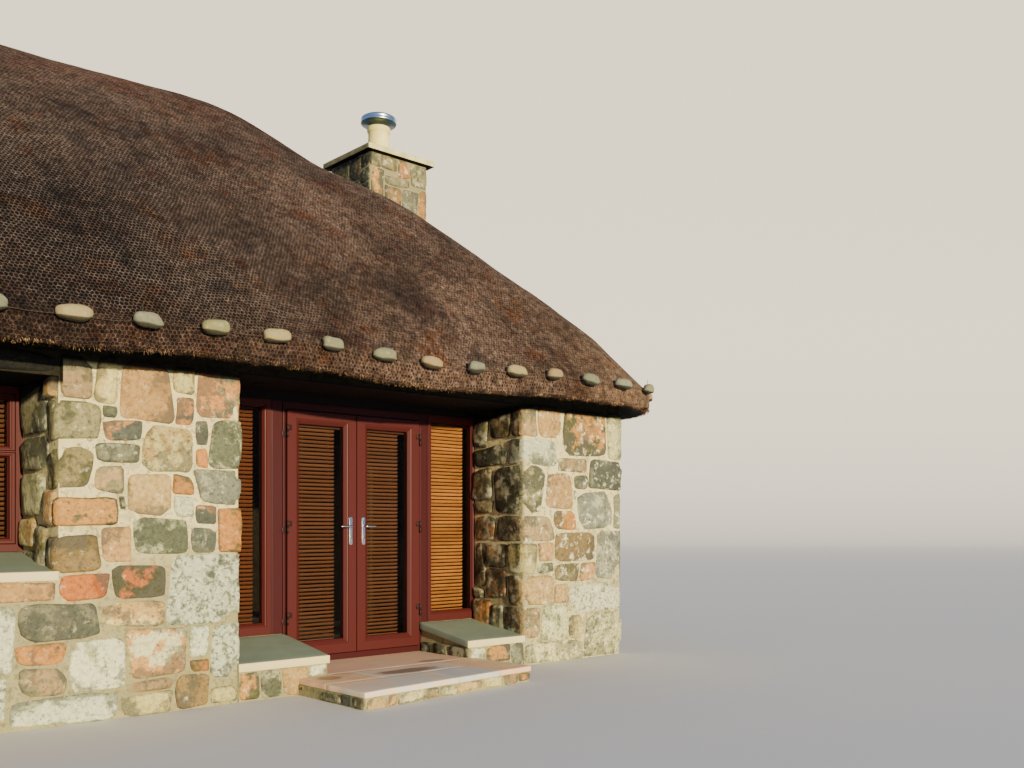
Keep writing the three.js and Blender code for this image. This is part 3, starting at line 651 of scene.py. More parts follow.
# Every stone is rings of points from its foot up, then the middle of its top and of its foot
def cutGroup(shape, run, stones, chance, around, rings, scale):
    if not stones:
        return
    count, total = len(stones), around * len(rings)
    atCorner = rings is masonry["cornerRings"]

    def draw(low, high, wide=1):
        return chance.uniform(low, high, (count, wide))

    rects = np.array([stone[:4] for stone in stones])
    joints = draw(*masonry["joint"], 4)
    size = np.minimum(rects[:, 1] - rects[:, 0], rects[:, 3] - rects[:, 2])
    rects = rects + np.minimum(joints, size[:, None] * 0.16) * (1, -1, 1, -1)
    mid = np.stack([rects[:, 0] + rects[:, 1], rects[:, 2] + rects[:, 3]], 1) / 2
    half = np.stack([rects[:, 1] - rects[:, 0], rects[:, 3] - rects[:, 2]], 1) / 2
    wide, tall, small = half[:, :1], half[:, 1:], half.min(1)[:, None]

    turn = fullTurn(around)
    power = draw(*masonry["square"], 4)[:, np.arange(around) * 4 // around]
    x, y = squared(np.cos(turn), power) * wide, squared(np.sin(turn), power) * tall
    wobble = np.ones((count, around))
    for k in (2, 3, 5, 7):
        wobble -= draw(0, 0.03 / k) * (1 + np.cos(k * turn + draw(0, 6.3)))
    lean, taper = (draw(-masonry[key], masonry[key]) for key in ("lean", "taper"))
    x, y = x * wobble * (1 + taper * y / tall) + lean * y * 0.5, y * wobble + lean * x * 0.25
    # Corners knocked off along straight breaks
    for quarter in range(4):
        way = math.pi / 4 + quarter * math.pi / 2 + draw(-0.45, 0.45)
        start = draw(*masonry["break"]) + (0.25 if atCorner else 0)
        past = np.maximum(x / wide * np.cos(way) + y / tall * np.sin(way) - start, 0)
        x, y = x - past * np.cos(way) * wide, y - past * np.sin(way) * tall

    proud = draw(*masonry["proud"]) * scale
    facets = [(draw(0, 6.3), *(draw(*span) for span in masonry["facet"])) for _ in range(3)]
    flat, out = [], []
    for inset, lift in rings + ((1.0, 1.04),):
        shrink = 1 - inset if inset >= 0.15 else 1 - inset / small
        px, py = x * shrink, y * shrink
        if inset == 1.0:
            px, py = px[:, :1] * 0, py[:, :1] * 0
        height = proud * lift if lift > 0 else lift
        if lift > 0.4:
            for way, start, slope in facets:
                reach = (px * np.cos(way) + py * np.sin(way)) / small
                height = height - np.maximum(reach - start, 0) * slope * small * 0.5
            height = np.maximum(height, np.maximum(proud * 0.35, masonry["mortarProud"] + 0.006))
        flat.append(np.stack([px + mid[:, :1], py + mid[:, 1:]], -1))
        out.append(height + np.zeros_like(px))
    flat = np.concatenate([*flat, mid[:, None]], 1)
    out = np.concatenate([*out, np.full((count, 1), rings[0][1])], 1)
    if atCorner:
        # Points gather at the corner that a stone turns
        gather = masonry["gather"]
        for corner in run.ends[1:-1]:
            away = flat[..., 0] - corner
            drawn = corner + away * (np.abs(away) / gather) ** 1.5
            flat[..., 0] = np.where(np.abs(away) < gather, drawn, flat[..., 0])

    world = run.at(flat[..., 0], flat[..., 1], 0.0)
    sway = masonry["sway"] * scale
    s = flat[..., 0] + drift(world, 0.17, 11) * sway + drift(world, 0.07, 12) * sway * 0.3
    z = flat[..., 1] + drift(world, 0.19, 13) * sway + drift(world, 0.07, 14) * sway * 0.3
    rough = drift(world, 0.085, 15) * 0.005 + drift(world, 0.03, 16) * 0.0025
    points = run.at(s, np.maximum(z, 0.002), out + np.where(out > 0.002, rough * scale, 0))

    tints = []
    for (*_, kind), (_, level) in zip(stones, mid):
        if not kind:
            low = level < masonry["groundZone"] and chance.random() < 0.55
            kind = chance.choice(lowKinds if low else wallKinds)
        tints.append(tintOf(kind, chance))
    tints = np.repeat(np.array(tints)[:, None], total + 2, 1)
    rims = [masonry["rim"][min(row, 3)] if inset < 0.15 else -0.1 for row, (inset, _) in enumerate(rings)]
    rims = np.concatenate([np.repeat(rims, around), [-0.1, 0.3]])
    way = draw(0, 6.3)
    across = ((flat - mid[:, None]) / half[:, None] * np.stack([np.cos(way), np.sin(way)], -1)).sum(-1)
    tints[..., 3] += rims * draw(0, 1.1) + np.maximum(across, -0.2) * draw(-0.15, 0.6)
    # Slivers, long and thin, are left as mortar
    kept = (half.min(1) > 0.02) | (half.max(1) < 0.045)
    faces = skinFaces(len(rings), around, total + 1, total)
    first = np.arange(kept.sum()) * (total + 2)
    shape.add(points[kept], faces + first[:, None, None], tints[kept].reshape(-1, 8))


# Mortar that covers a run between two distances and heights, open at the layout's openings
def mortarSkin(shape, run, s0, s1, z0, z1, holes=(), sunk=()):
    stops, heights = {s0, s1}, {z0, z1}
    reach = masonry["corner"]
    for corner in run.ends[1:-1]:
        if s0 < corner < s1:
            stops |= {corner + share * reach for share in (-1, -0.5, 0, 0.5, 1)}
    for a, b, c, d in holes:
        stops |= {a, b}
        heights |= {c, d}
    s, z = (lines(sorted(places), masonry["mortarStep"]) for places in (stops, heights))
    away, level = np.meshgrid(s, z, indexing="ij")
    out = np.full(away.shape, masonry["mortarProud"])
    for a, b in sunk:
        out -= 0.0035 * np.clip(np.minimum(away - a, b - away) / 0.04, 0, 1)
    world = run.at(away, level, 0.0)
    points = run.at(away, level, out + drift(world, 0.11, 21) * 0.0022 + drift(world, 0.3, 22) * 0.0015)
    middleS, middleZ = (s[:-1] + s[1:]) / 2, (z[:-1] + z[1:]) / 2
    keep = np.ones((len(middleS), len(middleZ)), bool)
    for a, b, c, d in holes:
        keep &= ~(((middleS > a) & (middleS < b))[:, None] & ((middleZ > c) & (middleZ < d))[None])
    return shape.add(points, openFaces(len(s), len(z))[keep])


# Finishes of the masonry: the dirt and limewash of each place, and painted shade where a place lies in shade
# Painted shade under the eave: above a line that falls further into the reveals and over the front windows'
# heads, the wall goes near black
def eaveShade(f, spot):
    x, level = f.axis(spot, "X"), f.axis(spot, "Z")
    inward = f.math("MAXIMUM", -front - f.reach(spot, "Y"), 0)
    sunk = level + f.math("MINIMUM", inward, 0.7) * 0.14
    for name in ("front_1", "front_2"):
        low, high = (corner.x for corner in windows[name])
        sunk = sunk + (x > low - 0.02) * (high + 0.02 > x) * 0.14
    return (f.edge(sunk, *masonry["shadeLine"]) - f.edge(level, masonry["wallZone"], 2.7)) * 0.97


# Limewash clings to the reveals of the door and the windows
def onReveals(f, spot):
    y = f.reach(spot, "Y")
    return (-front - 0.03 > y) * (y > -front - 0.75) * (masonry["wallZone"] > f.axis(spot, "Z"))


# The unlit inner faces of the walls
def indoors(f, spot):
    x, y = (f.reach(spot, letter) for letter in "XY")
    return (right - 0.5 > x) * (-0.01 - doorPlane > y) * (masonry["wallZone"] > f.axis(spot, "Z"))


# Mask of the door's recess, whose stones are painted darker than the sunny faces: an even painted shade,
# deeper in patches of dirt
def inRecess(f, spot):
    x, y, z = (f.axis(spot, letter) for letter in "XYZ")
    across = (x > recessLeft - 0.05) * (recessRight + 0.05 > x)
    return across * (y > front + 0.03) * (0.0 > y) * (masonry["wallZone"] > z)


# The pier at the right is the palest
def limewashed(f, spot):
    return f.edge(f.axis(spot, "X"), 3.2, 4.2)


def stoneFinish():
    f = Finish("rubbleStone")
    spot = f.place()
    level = f.axis(spot, "Z")
    share, speckle = f.tint("tint", "Alpha"), f.tint("patch", "Alpha")
    broad, mottle = f.noise(spot, 9.0, 5, 0.6), f.noise(spot, 34.0, 4, 0.65)
    splash = 1 - f.edge(level, 0.5, 1.2)
    limed, recess = limewashed(f, spot), inRecess(f, spot)
    colour = f.mix(f.edge(broad + share * 0.45, 0.62, 0.72), f.tint("tint"), f.tint("patch"))
    shade = f.ramp(mottle, (0.3, "9a968f"), (0.5, "dedede"), (0.72, "ffffff"))
    colour = f.mix(0.75, colour, shade, "MULTIPLY")
    blotches = f.elsewhere(spot, (4, 9, 2), 10.0, 5, 0.65) + share * 0.35 + splash * 0.02
    colour = f.mix(f.edge(blotches, 0.64, 0.74) * 0.65, colour, "57554a")
    spots = f.noise(spot, 38.0, 3, 0.65) + speckle * 0.15 + limed * splash * 0.06
    colour = f.mix(f.edge(spots, 0.63, 0.72) * 0.7, colour, "45463b")
    pale = f.edge(f.noise(spot, 16.0, 5, 0.7) + limed * 0.05, 0.58, 0.72)
    colour = f.mix(pale * (0.5 + limed * 0.35), colour, "eae4bf")
    # Painted shade over the door's recess, deeper in patches of dirt
    dirty = f.edge(f.elsewhere(spot, (7, 3, 5), 6.5, 5, 0.65), 0.40, 0.58)
    colour = f.mix(recess * (0.28 + 0.58 * dirty), colour, "1d1f19")
    washed = onReveals(f, spot) * f.edge(f.noise(spot, 7.0, 5, 0.62), 0.51, 0.64)
    colour = f.mix(washed * (0.78 - recess * 0.2), colour, "c9c6a6")
    stack = level > 3.0
    colour = f.mix(stack * f.edge(f.noise(spot, 6.0, 4, 0.65), 0.42, 0.58) * 0.5, colour, "625e49")
    # Painted shade on the chimney's left side, which faces away from the sun
    chimneySideShade = stack * (chimneyBox[0].x + 0.006 > f.axis(spot, "X"))
    colour = f.mix(chimneySideShade * f.edge(mottle, 0.30, 0.55) * 0.85, colour, "20241f")
    # Painted shade under the eave
    colour = f.mix(eaveShade(f, spot), colour, "050404")
    grains = f.node("TexVoronoi", None, {"Vector": spot, "Scale": 75.0})
    height = mottle * 0.5 + grains * 0.25 + f.noise(spot, 140.0, 3, 0.7) * 0.4 + broad * 0.6
    return f.done(Base_Color=colour, Roughness=0.86 - pale * 0.06, Normal=f.bump(height, 0.012, 0.85),
                  Specular_IOR_Level=0.28)


def mortarFinish():
    f = Finish("limeMortar")
    spot = f.place()
    level = f.axis(spot, "Z")
    tonal, grit = f.noise(spot, 13.0, 5, 0.65), f.noise(spot, 190.0, 4, 0.7)
    limed = limewashed(f, spot)
    splash = 1 - f.edge(level, 0.6, 1.1)
    damp = 1 - f.edge(level + f.noise(spot, 2.2, 4, 0.6) * 0.9, 1.10, 1.75)
    dry, wet = f.mix(tonal, "cabd84", "fff3ba"), f.mix(tonal, "85805c", "b9b282")
    colour = f.mix(damp * (0.95 - limed * 0.65), dry, wet)
    colour = f.mix(f.edge(level, 3.0, 3.1) * 0.85, colour, f.mix(tonal, "66644a", "a69d76"))
    crumbs = f.mix(f.edge(f.noise(spot, 7.0, 2), 0.45, 0.55), "7d7b5c", "b38b58")
    colour = f.mix(f.edge(f.noise(spot, 26.0, 3, 0.55), 0.55, 0.59) * 0.6, colour, crumbs)
    stains = f.edge(f.noise(spot, 5.2, 5, 0.7) + splash * 0.06, 0.52, 0.62)
    colour = f.mix(stains * 0.42, colour, "8b8866")
    specks = f.edge(f.noise(spot, 28.0, 4, 0.65) + splash * (0.03 + limed * 0.05), 0.56, 0.70)
    colour = f.mix(specks * 0.6, colour, "66644c")
    # Painted shade: faces that look down above 1.5 m, the unlit inner faces of the walls and the band under
    # the eave go near black
    shade = f.against("Z", 0.25, 0.6) * (level > 1.5) * 0.97
    for dark in (indoors(f, spot) * 0.9, shade, eaveShade(f, spot)):
        colour = f.mix(dark, colour, "050404")
    colour = f.mix(0.25, colour, f.ramp(grit, (0.3, "8d8d8d"), (0.6, "ffffff")), "MULTIPLY")
    normal = f.bump(grit * 0.5 + f.noise(spot, 55.0, 4, 0.6), 0.006, 0.8)
    return f.done(Base_Color=colour, Roughness=0.93, Normal=normal, Specular_IOR_Level=0.2)


stoneLook = stoneFinish()
mortarLook = mortarFinish()


def buildMasonry():
    chance = np.random.default_rng(41)
    main = Run((recessRight, doorPlane), (recessRight, front), (right, front), (right, back), (left, back),
               (left, front), (recessLeft, front), (recessLeft, doorPlane))
    ends = main.ends
    sillFront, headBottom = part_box("window_front_1_sill")[0].z, windows["front_1"][1].z
    holes = []
    for name, (lowest, highest) in windows.items():
        if name.startswith("front"):
            holes.append((ends[5] + lowest.x - left, ends[5] + highest.x - left, sillFront, headBottom))
        else:
            holes.append((ends[3] + right - highest.x, ends[3] + right - lowest.x, sillFront, headBottom))
    stops = set(ends) | {s for hole in holes for s in hole[:2]}
    wall = Layout(main, stops, (0, sillFront, headBottom, wallTop), 7)
    for hole in holes:
        wall.close(*hole)

    # Reveals of the windows, each with a run of its own round the jamb that starts or ends on the wall's face
    arm = 0.6
    reveals = []
    for (name, (lowest, highest)), hole in zip(windows.items(), holes):
        face, way = (front, 1) if name.startswith("front") else (back, -1)
        x0, x1 = (lowest.x, highest.x) if way > 0 else (highest.x, lowest.x)
        inner = doorPlane * way
        leftRun = Run((x0 - way * arm, face), (x0, face), (x0, inner))
        rightRun = Run((x1, inner), (x1, face), (x1 + way * arm, face))
        depth = abs(inner - face)
        for run, into, corner, wallCorner in ((leftRun, 1, arm, hole[0]), (rightRun, -1, depth, hole[1])):
            s0, s1 = (arm, arm + depth) if into > 0 else (0, depth)
            layout = Layout(run, (s0, s1), (sillFront, headBottom), 60 + len(reveals))
            reveals.append((name, layout, into, corner, wallCorner, s0, s1))

    jambX = windows["front_2"][1].x
    for kind, x0, x1, z0, z1 in pierStones:
        if x0 > recessRight - 0.5:
            wall.lay(ends[1] + x0 - recessRight, ends[1] + x1 - recessRight, z0, z1, kind)
        elif x0 < jambX - 0.01 and z0 > sillFront:
            name, layout, into, corner, wallCorner, *_ = reveals[3]
            i, k, j, m = wall.span(wallCorner, wallCorner + x1 - jambX, z0, z1)
            wall.used[i:k, j:m] = True
            layout.share(corner, into, wall.s[k] - wallCorner, jambX - x0, wall.z[j], wall.z[m], kind)
        else:
            wall.lay(ends[6] + x0 - recessLeft, ends[6] + x1 - recessLeft, z0, z1, kind)
    for corner in ends[1:-1]:
        wall.corner(corner, 0, wallTop)
    for name, layout, into, corner, wallCorner, *_ in reveals:
        layout.jamb(wall, wallCorner, corner, into, sillFront, headBottom)
        layout.fill()
    wall.fill()

    stones = wall.stones
    legs = main.legs(np.array([(stone[0] + stone[1]) / 2 for stone in stones]))
    # Legs of the run that each piece of masonry covers
    for part, covered in (("pier_right", (0, 1)), ("front_left", (5, 6)), ("end_right", (2,)), ("back", (3,)),
                          ("end_left", (4,))):
        shape = Shape()
        cut = "near" if part in ("pier_right", "front_left") else "far"
        own = [stone for stone, leg in zip(stones, legs) if leg in covered]
        if part == "front_left":
            seen = [stone for stone in own if stone[1] > ends[5] + jambX - left - 0.9]
            cutStones(shape, main, [stone for stone in own if stone not in seen], chance, "far")
            own = seen
        inner = [stone for stone in own if stone[1] < ends[1] + 0.01 or stone[0] > ends[6] - 0.01]
        cutStones(shape, main, inner, chance, cut, masonry["revealScale"])
        cutStones(shape, main, [stone for stone in own if stone not in inner], chance, cut)
        for name, layout, into, *_ in reveals:
            if name.split("_")[0] == part.split("_")[0]:
                grade = "near" if name == "front_2" and into < 0 else "far"
                cutStones(shape, layout.run, layout.stones, chance, grade, masonry["revealScale"])
        shape.piece(f"stones_{part}", stoneLook, slot="rubble")

    mortar = Shape()
    sunk = (-1, ends[1] - 0.03), (ends[6] + 0.03, ends[7] + 1)
    mortarSkin(mortar, main, 0, ends[-1], 0, wallTop, holes, sunk)
    for name, layout, into, corner, wallCorner, s0, s1 in reveals:
        inside = (s0 + 0.03, s1 + 1) if into > 0 else (s0 - 1, s1 - 0.03)
        mortarSkin(mortar, layout.run, s0, s1, sillFront, headBottom, sunk=(inside,))
    mortar.piece("mortar_walls", mortarLook, slot="rubble")
    print("walls laid:", len(stones) + sum(len(r[1].stones) for r in reveals), "stones")


buildMasonry()


# Small masonry: the plinths beside the door, the sides of the step and the chimney. given stones are measured
# along the run from its first corner
def smallWork(name, run, z0, z1, seed, sizes, given, step=0.055, scale=0.7, quoins=()):
    layout = Layout(run, set(run.ends), (z0, z1), seed, step)
    for kind, s0, s1, bottom, top in given:
        layout.lay(run.ends[1] + s0, run.ends[1] + s1, bottom, top, kind)
    for at in quoins:
        layout.corner(at, z0, z1, 0.62)
    layout.fill(sizes)
    shape = cutStones(Shape(), run, layout.stones, np.random.default_rng(seed), "small", scale)
    shape.piece(f"stones_{name}", stoneLook, slot="rubble")
    mortarSkin(Shape(), run, 0, run.ends[-1], z0, z1).piece(f"mortar_{name}", mortarLook, slot="rubble")


# Stones of the plinths and of the step, measured from the front left corner of each
plinthStones = {
    "left": (
        ("orangeDark", -0.70, -0.55, 0.01, 0.13), ("lichenDark", -0.54, -0.40, 0.02, 0.20),
        ("tan", -0.39, -0.20, 0.02, 0.19), ("white", -0.16, -0.05, 0.10, 0.21),
        ("grey", -0.18, -0.02, 0.01, 0.09), ("buffGrey", 0.03, 0.22, 0.04, 0.19),
        ("darkGrey", 0.25, 0.45, 0.02, 0.20),
    ),
    "right": (
        ("white", 0.02, 0.14, 0.10, 0.21), ("orangeDark", 0.16, 0.42, 0.08, 0.21),
        ("grey", 0.44, 0.60, 0.06, 0.21), ("darkGrey", -0.22, -0.04, 0.02, 0.20),
        ("lichenDark", -0.44, -0.25, 0.02, 0.21), ("brown", 0.10, 0.36, 0.01, 0.07),
        ("darkGrey", -0.64, -0.47, 0.03, 0.21),
    ),
}
stepStones = (
    ("lichenDark", -0.48, -0.30, 0.012, 0.10), ("darkGrey", -0.28, -0.14, 0.012, 0.10),
    ("buffGrey", -0.12, -0.01, 0.012, 0.10), ("tan", 0.01, 0.16, 0.012, 0.10),
    ("peach", 0.17, 0.27, 0.012, 0.10), ("cream", 0.28, 0.52, 0.02, 0.09),
    ("pinkGrey", 0.53, 0.66, 0.012, 0.10), ("cream", 0.68, 0.81, 0.02, 0.09),
    ("tan", 0.83, 1.07, 0.012, 0.10), ("paleBuff", 1.10, 1.35, 0.012, 0.10),
    ("pinkGrey", 1.37, 1.48, 0.03, 0.10), ("orange", 1.50, 1.64, 0.012, 0.10),
)


def buildSmallMasonry():
    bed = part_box("plinth_left_sill")[0].z
    x0, x1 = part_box("plinth_left")[1].x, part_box("plinth_right")[0].x
    leftRun = Run((recessLeft, front), (x0, front), (x0, doorPlane))
    rightRun = Run((x1, doorPlane), (x1, front), (recessRight, front))
    sizes = ((6, 2), (5, 2), (4, 3), (4, 2), (3, 2), (2, 2), (2, 1))
    for seed, side, run in ((71, "left", leftRun), (72, "right", rightRun)):
        smallWork(f"plinth_{side}", run, 0, bed, seed, sizes, plinthStones[side])

    fore = sorted((v.co.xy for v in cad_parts["step_base"].data.vertices), key=lambda p: p.y)
    near = min(fore[:6], key=lambda p: p.x)
    far = max((p for p in fore if p.y < front - 0.3), key=lambda p: p.x)
    run = Run((near.x, front), tuple(near), tuple(far), (far.x, front))
    sizes = ((6, 1), (5, 1), (4, 1), (3, 1), (2, 1))
    smallWork("step", run, 0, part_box("step_base")[1].z, 73, sizes, stepStones, 0.045, 0.45)

    (x0, y0, _), (x1, y1, top) = chimneyBox
    middle = (y0 + y1) / 2
    run = Run((x0, middle), (x0, y0), (x1, y0), (x1, y1), (x0, y1), (x0, middle))
    sizes = ((5, 3), (4, 3), (4, 4), (3, 3), (5, 2), (4, 2), (3, 2), (2, 2), (2, 3))
    smallWork("chimney", run, 3.1, top, 74, sizes, chimneyStones, quoins=run.ends[1:-1])


# Gives a node of the frame a finish of its own
def dress(name, look):
    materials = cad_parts[name].data.materials
    materials.clear()
    materials.append(look)


buildSmallMasonry()
print("small masonry laid")
for name in ("wall_front_left", "wall_front_right", "wall_back", "wall_left", "wall_right", "wall_head_front",
             "wall_head_back", "plinth_left", "plinth_right", "step_base", "chimney_stack"):
    dress(name, mortarLook)


# Thatch: a rounded hip roof of reed under wire netting

thatch = {
    "ridgeHalf": 1.553,
    "curve": 1.63,
    "eaveHeight": 2.430,
    "ridgeHeight": 5.202,
    "cornerShares": (0.27, 0.62),   # corner radius over half depth, at the eave and at the ridge
    "lastShare": 0.985,
    "rings": 58,
    "along": (104, 58),             # steps along the straight part of a long and of a short side
    "round": 9,                     # steps over half a corner
    "mesh": 0.027,                  # width of one mesh of the netting, and how much of it its wire takes up
    "wireShare": 0.30,
    "sag": 0.014,
    "straws": 9000,
    # Where the coat stands out from or in behind the solid: a place on one quarter, its radius, and how far
    "lumps": (((2.75, 1.30, 4.50), 0.75, -0.075), ((1.75, 0.70, 4.98), 0.70, 0.052),
              ((1.05, 0.50, 5.05), 0.50, 0.020), ((4.55, 2.80, 2.95), 0.80, 0.052),
              ((4.80, 3.15, 2.62), 0.35, 0.012)),
    # How far the front eave hangs down, by the distance from the house's middle
    "eaveFall": ((-4.6, 0), (-2.2, 0.045), (-0.3, 0.042), (0, 0.034), (0.4, 0.010), (1.5, 0.006),
                 (2.0, 0.036), (2.5, 0.042), (3.1, 0.016), (3.6, -0.008), (5.2, -0.010), (5.5, 0)),
    # Inset and rise of the rings of the lip
    "lip": ((0.066, 0.0), (0.052, 0.003), (0.036, 0.010), (0.020, 0.022), (0.008, 0.045), (0.0, 0.085),
            (0.0, 0.12), (0.0, 0.16), (0.0, 0.20), (0.0, 0.235)),
    "lipLift": 0.050,               # how far the foot of the coat stands above the solid's
    "bed": 2.4503,                  # underside over the walls, and how far its inner face rises from there
    "innerRise": 2.3317,
}
eaveX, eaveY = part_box("thatch")[1].xy
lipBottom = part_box("thatch")[0].z
sideWays = (((1, 0), (0, -1)), ((0, 1), (1, 0)), ((-1, 0), (0, 1)), ((0, -1), (-1, 0)))


def eaveDrop(x, y):
    places, falls = zip(*thatch["eaveFall"])
    return np.interp(x, places, falls) * (y < 0)


# One ring of the roof in plan. Each side gives its own distances from its middle for the netting.
def roofRing(halfX, halfY, radius):
    points, spots = [], []
    turn = np.linspace(0, math.pi / 4, thatch["round"] + 1)
    before, after = radius * np.sin(turn[::-1]), radius * np.sin(turn)
    for side, (way, out) in enumerate(sideWays):
        along, across = (halfX, halfY) if side % 2 == 0 else (halfY, halfX)
        end, shoulder = along - radius, across - radius
        straight = np.linspace(-end, end, thatch["along"][side % 2] + 1)[1:-1]
        a = np.concatenate([-end - before, straight, end + after])
        b = np.concatenate([shoulder + radius * np.cos(turn[::-1]), np.full(len(straight), across),
                            shoulder + radius * np.cos(turn)])
        points.append((a[:, None] * way + b[:, None] * out)[:-1])
        spots.append(np.concatenate([-end - radius * turn[::-1], straight, end + radius * turn]))
    return np.concatenate(points), spots


def roofLevel(share):
    halfX = thatch["ridgeHalf"] + (eaveX - thatch["ridgeHalf"]) * (1 - share)
    halfY = eaveY * (1 - share)
    small, large = thatch["cornerShares"]
    radius = (small + (large - small) * share) * halfY
    rise = thatch["ridgeHeight"] - thatch["eaveHeight"]
    return halfX, halfY, radius, thatch["eaveHeight"] + rise * (1 - (1 - share) ** thatch["curve"])


# All rings from the lip's foot to the ridge, as (two half sizes, corner radius, height)
def outerRings():
    radius = thatch["cornerShares"][0] * eaveY
    lip, lift = thatch["lip"], thatch["lipLift"]
    rings = [(eaveX - inset, eaveY - inset, radius - inset, lipBottom + rise + lift * (1 - rise / lip[-1][1]))
             for inset, rise in lip]
    for share in thatch["lastShare"] * (np.arange(1, thatch["rings"] + 1) / thatch["rings"]) ** 1.08:
        rings.append(roofLevel(share))
    return rings


def ringNormals(points, rows, count):
    grid = points.reshape(rows, count, 3)
    along = np.roll(grid, -1, 1) - np.roll(grid, 1, 1)
    normal = np.cross(along, np.gradient(grid, axis=0))
    return (normal / np.maximum(np.linalg.norm(normal, axis=2, keepdims=True), 1e-9)).reshape(-1, 3)


def thatchFinish():
    f = Finish("nettedThatch")
    spot = f.place()
    # The netting runs in broad waves and small kinks
    bent = f.node("UVMap", {"uv_map": "surface"})
    for scale, detail, amount in ((2.6, 2.0, (0.07, 0.09, 0)), (21.0, 1.0, (0.014, 0.014, 0))):
        wave = f.noise(spot, scale, detail, 0.5, "Color")
        bent = f.vector("ADD", bent, f.vector("MULTIPLY", wave, amount))
    # A honeycomb: the nearer of two offset lattices of cell middles
    mesh, share = thatch["mesh"], thatch["wireShare"]
    p = f.vector("MULTIPLY", bent, (1 / mesh, 1 / mesh / 1.12, 0))
    lattices = []
    for offset in ((900, 1559, 0), (900.5, 1559.866, 0)):
        cell = f.vector("MODULO", f.vector("ADD", p, offset), (1.0, 1.7320508, 1.0))
        lattices.append(f.vector("MULTIPLY", f.vector("SUBTRACT", cell, (0.5, 0.8660254, 0.5)), (1, 1, 0)))
    first, second = lattices
    nearer = f.vector("LENGTH", first, out="Value") < f.vector("LENGTH", second, out="Value")
    cell = f.vector("ABSOLUTE", f.node("Mix", {"data_type": "VECTOR"}, {0: nearer, 4: second, 5: first}, 1))
    reach = f.math("MAXIMUM", f.vector("DOT_PRODUCT", cell, (1, 0, 0), out="Value"),
                   f.vector("DOT_PRODUCT", cell, (0.5, 0.8660254, 0), out="Value"))
    wire = f.edge(reach, 0.5 - share * 0.55, 0.5 - share * 0.2)

    reeds = f.noise(f.vector("MULTIPLY", bent, (420, 26, 1)), 1.0, 4, 0.65)
    flecks = f.noise(f.vector("MULTIPLY", bent, (46, 30, 1)), 1.0, 2, 0.55)
    ends, specks = f.noise(spot, 150.0, 3, 0.7), f.noise(spot, 62.0, 4, 0.75)
    tufts, middling = f.elsewhere(spot, (7, 3, 5), 15.0, 3, 0.6), f.noise(spot, 5.5, 4, 0.62)
    aside, level = f.reach(spot, "X"), f.reach(spot, "Z")
    stubble = specks * 0.4 + ends * 0.2 + flecks * 0.4
    colour = f.ramp(reeds * 0.3 + ends * 0.2 + specks * 0.2 + flecks * 0.3,
                    (0.36, "040303"), (0.48, "0e0a08"), (0.60, "33251c"), (0.74, "7d6047"))
    # Rusty stubble shows through along the foot; the hips and the ridge are drier and paler
    foot = 1 - f.edge(level + middling * 0.3, 2.42, 2.72)
    rust = f.ramp(stubble, (0.36, "120b09"), (0.48, "4a2e21"), (0.58, "8a6249"), (0.70, "c9a37c"))
    colour = f.mix(foot * 0.6, colour, rust)
    high = f.edge(level + middling * 0.8, 3.4, 5.6) * 0.9
    pale = f.math("MAXIMUM", f.edge(aside + middling * 0.9, 0.4, 3.3), high)
    dry = f.ramp(specks * 0.35 + ends * 0.15 + flecks * 0.5,
                 (0.36, "150d09"), (0.46, "4f392c"), (0.55, "8c6e59"), (0.67, "dcbfa4"))
    colour = f.mix(pale * 0.8, colour, dry)
    wireTone = f.ramp(stubble, (0.32, "2b2422"), (0.5, "74675f"), (0.66, "b3a296"))
    colour = f.mix(wire * (0.9 - pale * 0.25), colour, f.mix(pale * 0.5, wireTone, "bda898"))
    # Weathered patches, reddish, green-grey, slate and tan
    for size, start, share, shade in ((3.7, 0.59, 0.55, "8e4c34"), (4.6, 0.61, 0.6, "61694c"),
                                      (2.3, 0.59, 0.75, "555c6a"), (3.1, 0.60, 0.75, "b8884f")):
        patch = f.elsewhere(spot, (size * 3, size, 0), size, 5, 0.65) + specks * 0.12
        stained = f.mix(0.8, colour, shade, "OVERLAY")
        colour = f.mix(f.edge(patch, start, start + 0.14) * share, colour, stained)
    crest = f.edge(level + f.noise(spot, 1.7, 4, 0.6) * 1.2, 4.9, 5.7)
    colour = f.mix(crest * 0.35, colour, f.mix(0.8, colour, "d09a62", "OVERLAY"))
    sunny = f.edge(aside, 3.2, 5.2) * (1 - f.edge(level, 2.8, 3.9))
    colour = f.mix(sunny * 0.22, colour, "dbb78c")
    tuftTone = f.ramp(tufts, (0.36, "77706c"), (0.5, "d4d0ce"), (0.62, "ffffff"))
    colour = f.mix(0.7, colour, tuftTone, "MULTIPLY")
    broad = f.ramp(f.noise(spot, 1.1, 5, 0.62), (0.34, "9c9897"), (0.52, "dcd8d6"), (0.70, "ffffff"))
    colour = f.mix(0.85, colour, broad, "MULTIPLY")
    height = wire * 0.5 + reeds * 0.4 + ends * 0.4 + specks * 0.5 + flecks * 0.9 + tufts * 1.2
    normal = f.bump(height, 0.016, 0.95)
    return f.done(Base_Color=colour, Roughness=0.92, Normal=normal, Specular_IOR_Level=0.15)


def reedFinish(name, dark, pale):
    f = Finish(name)
    fibre = f.noise(f.place((1, 1, 0.06)), 240.0, 3, 0.6)
    broad = f.noise(f.place(), 7.0, 4, 0.7)
    colour = f.mix(f.edge(fibre * 0.3 + broad * 0.7, 0.46, 0.62), dark, pale)
    return f.done(Base_Color=colour, Roughness=0.88, Normal=f.bump(fibre, 0.003, 0.8), Specular_IOR_Level=0.2)


netLook = thatchFinish()
reedLook = reedFinish("reedEnds", "2b1c14", "b8946c")
# The eave's underside is painted near black, as shade
eaveShadeLook = reedFinish("eaveUndersideShade", "0a0605", "1a120d")


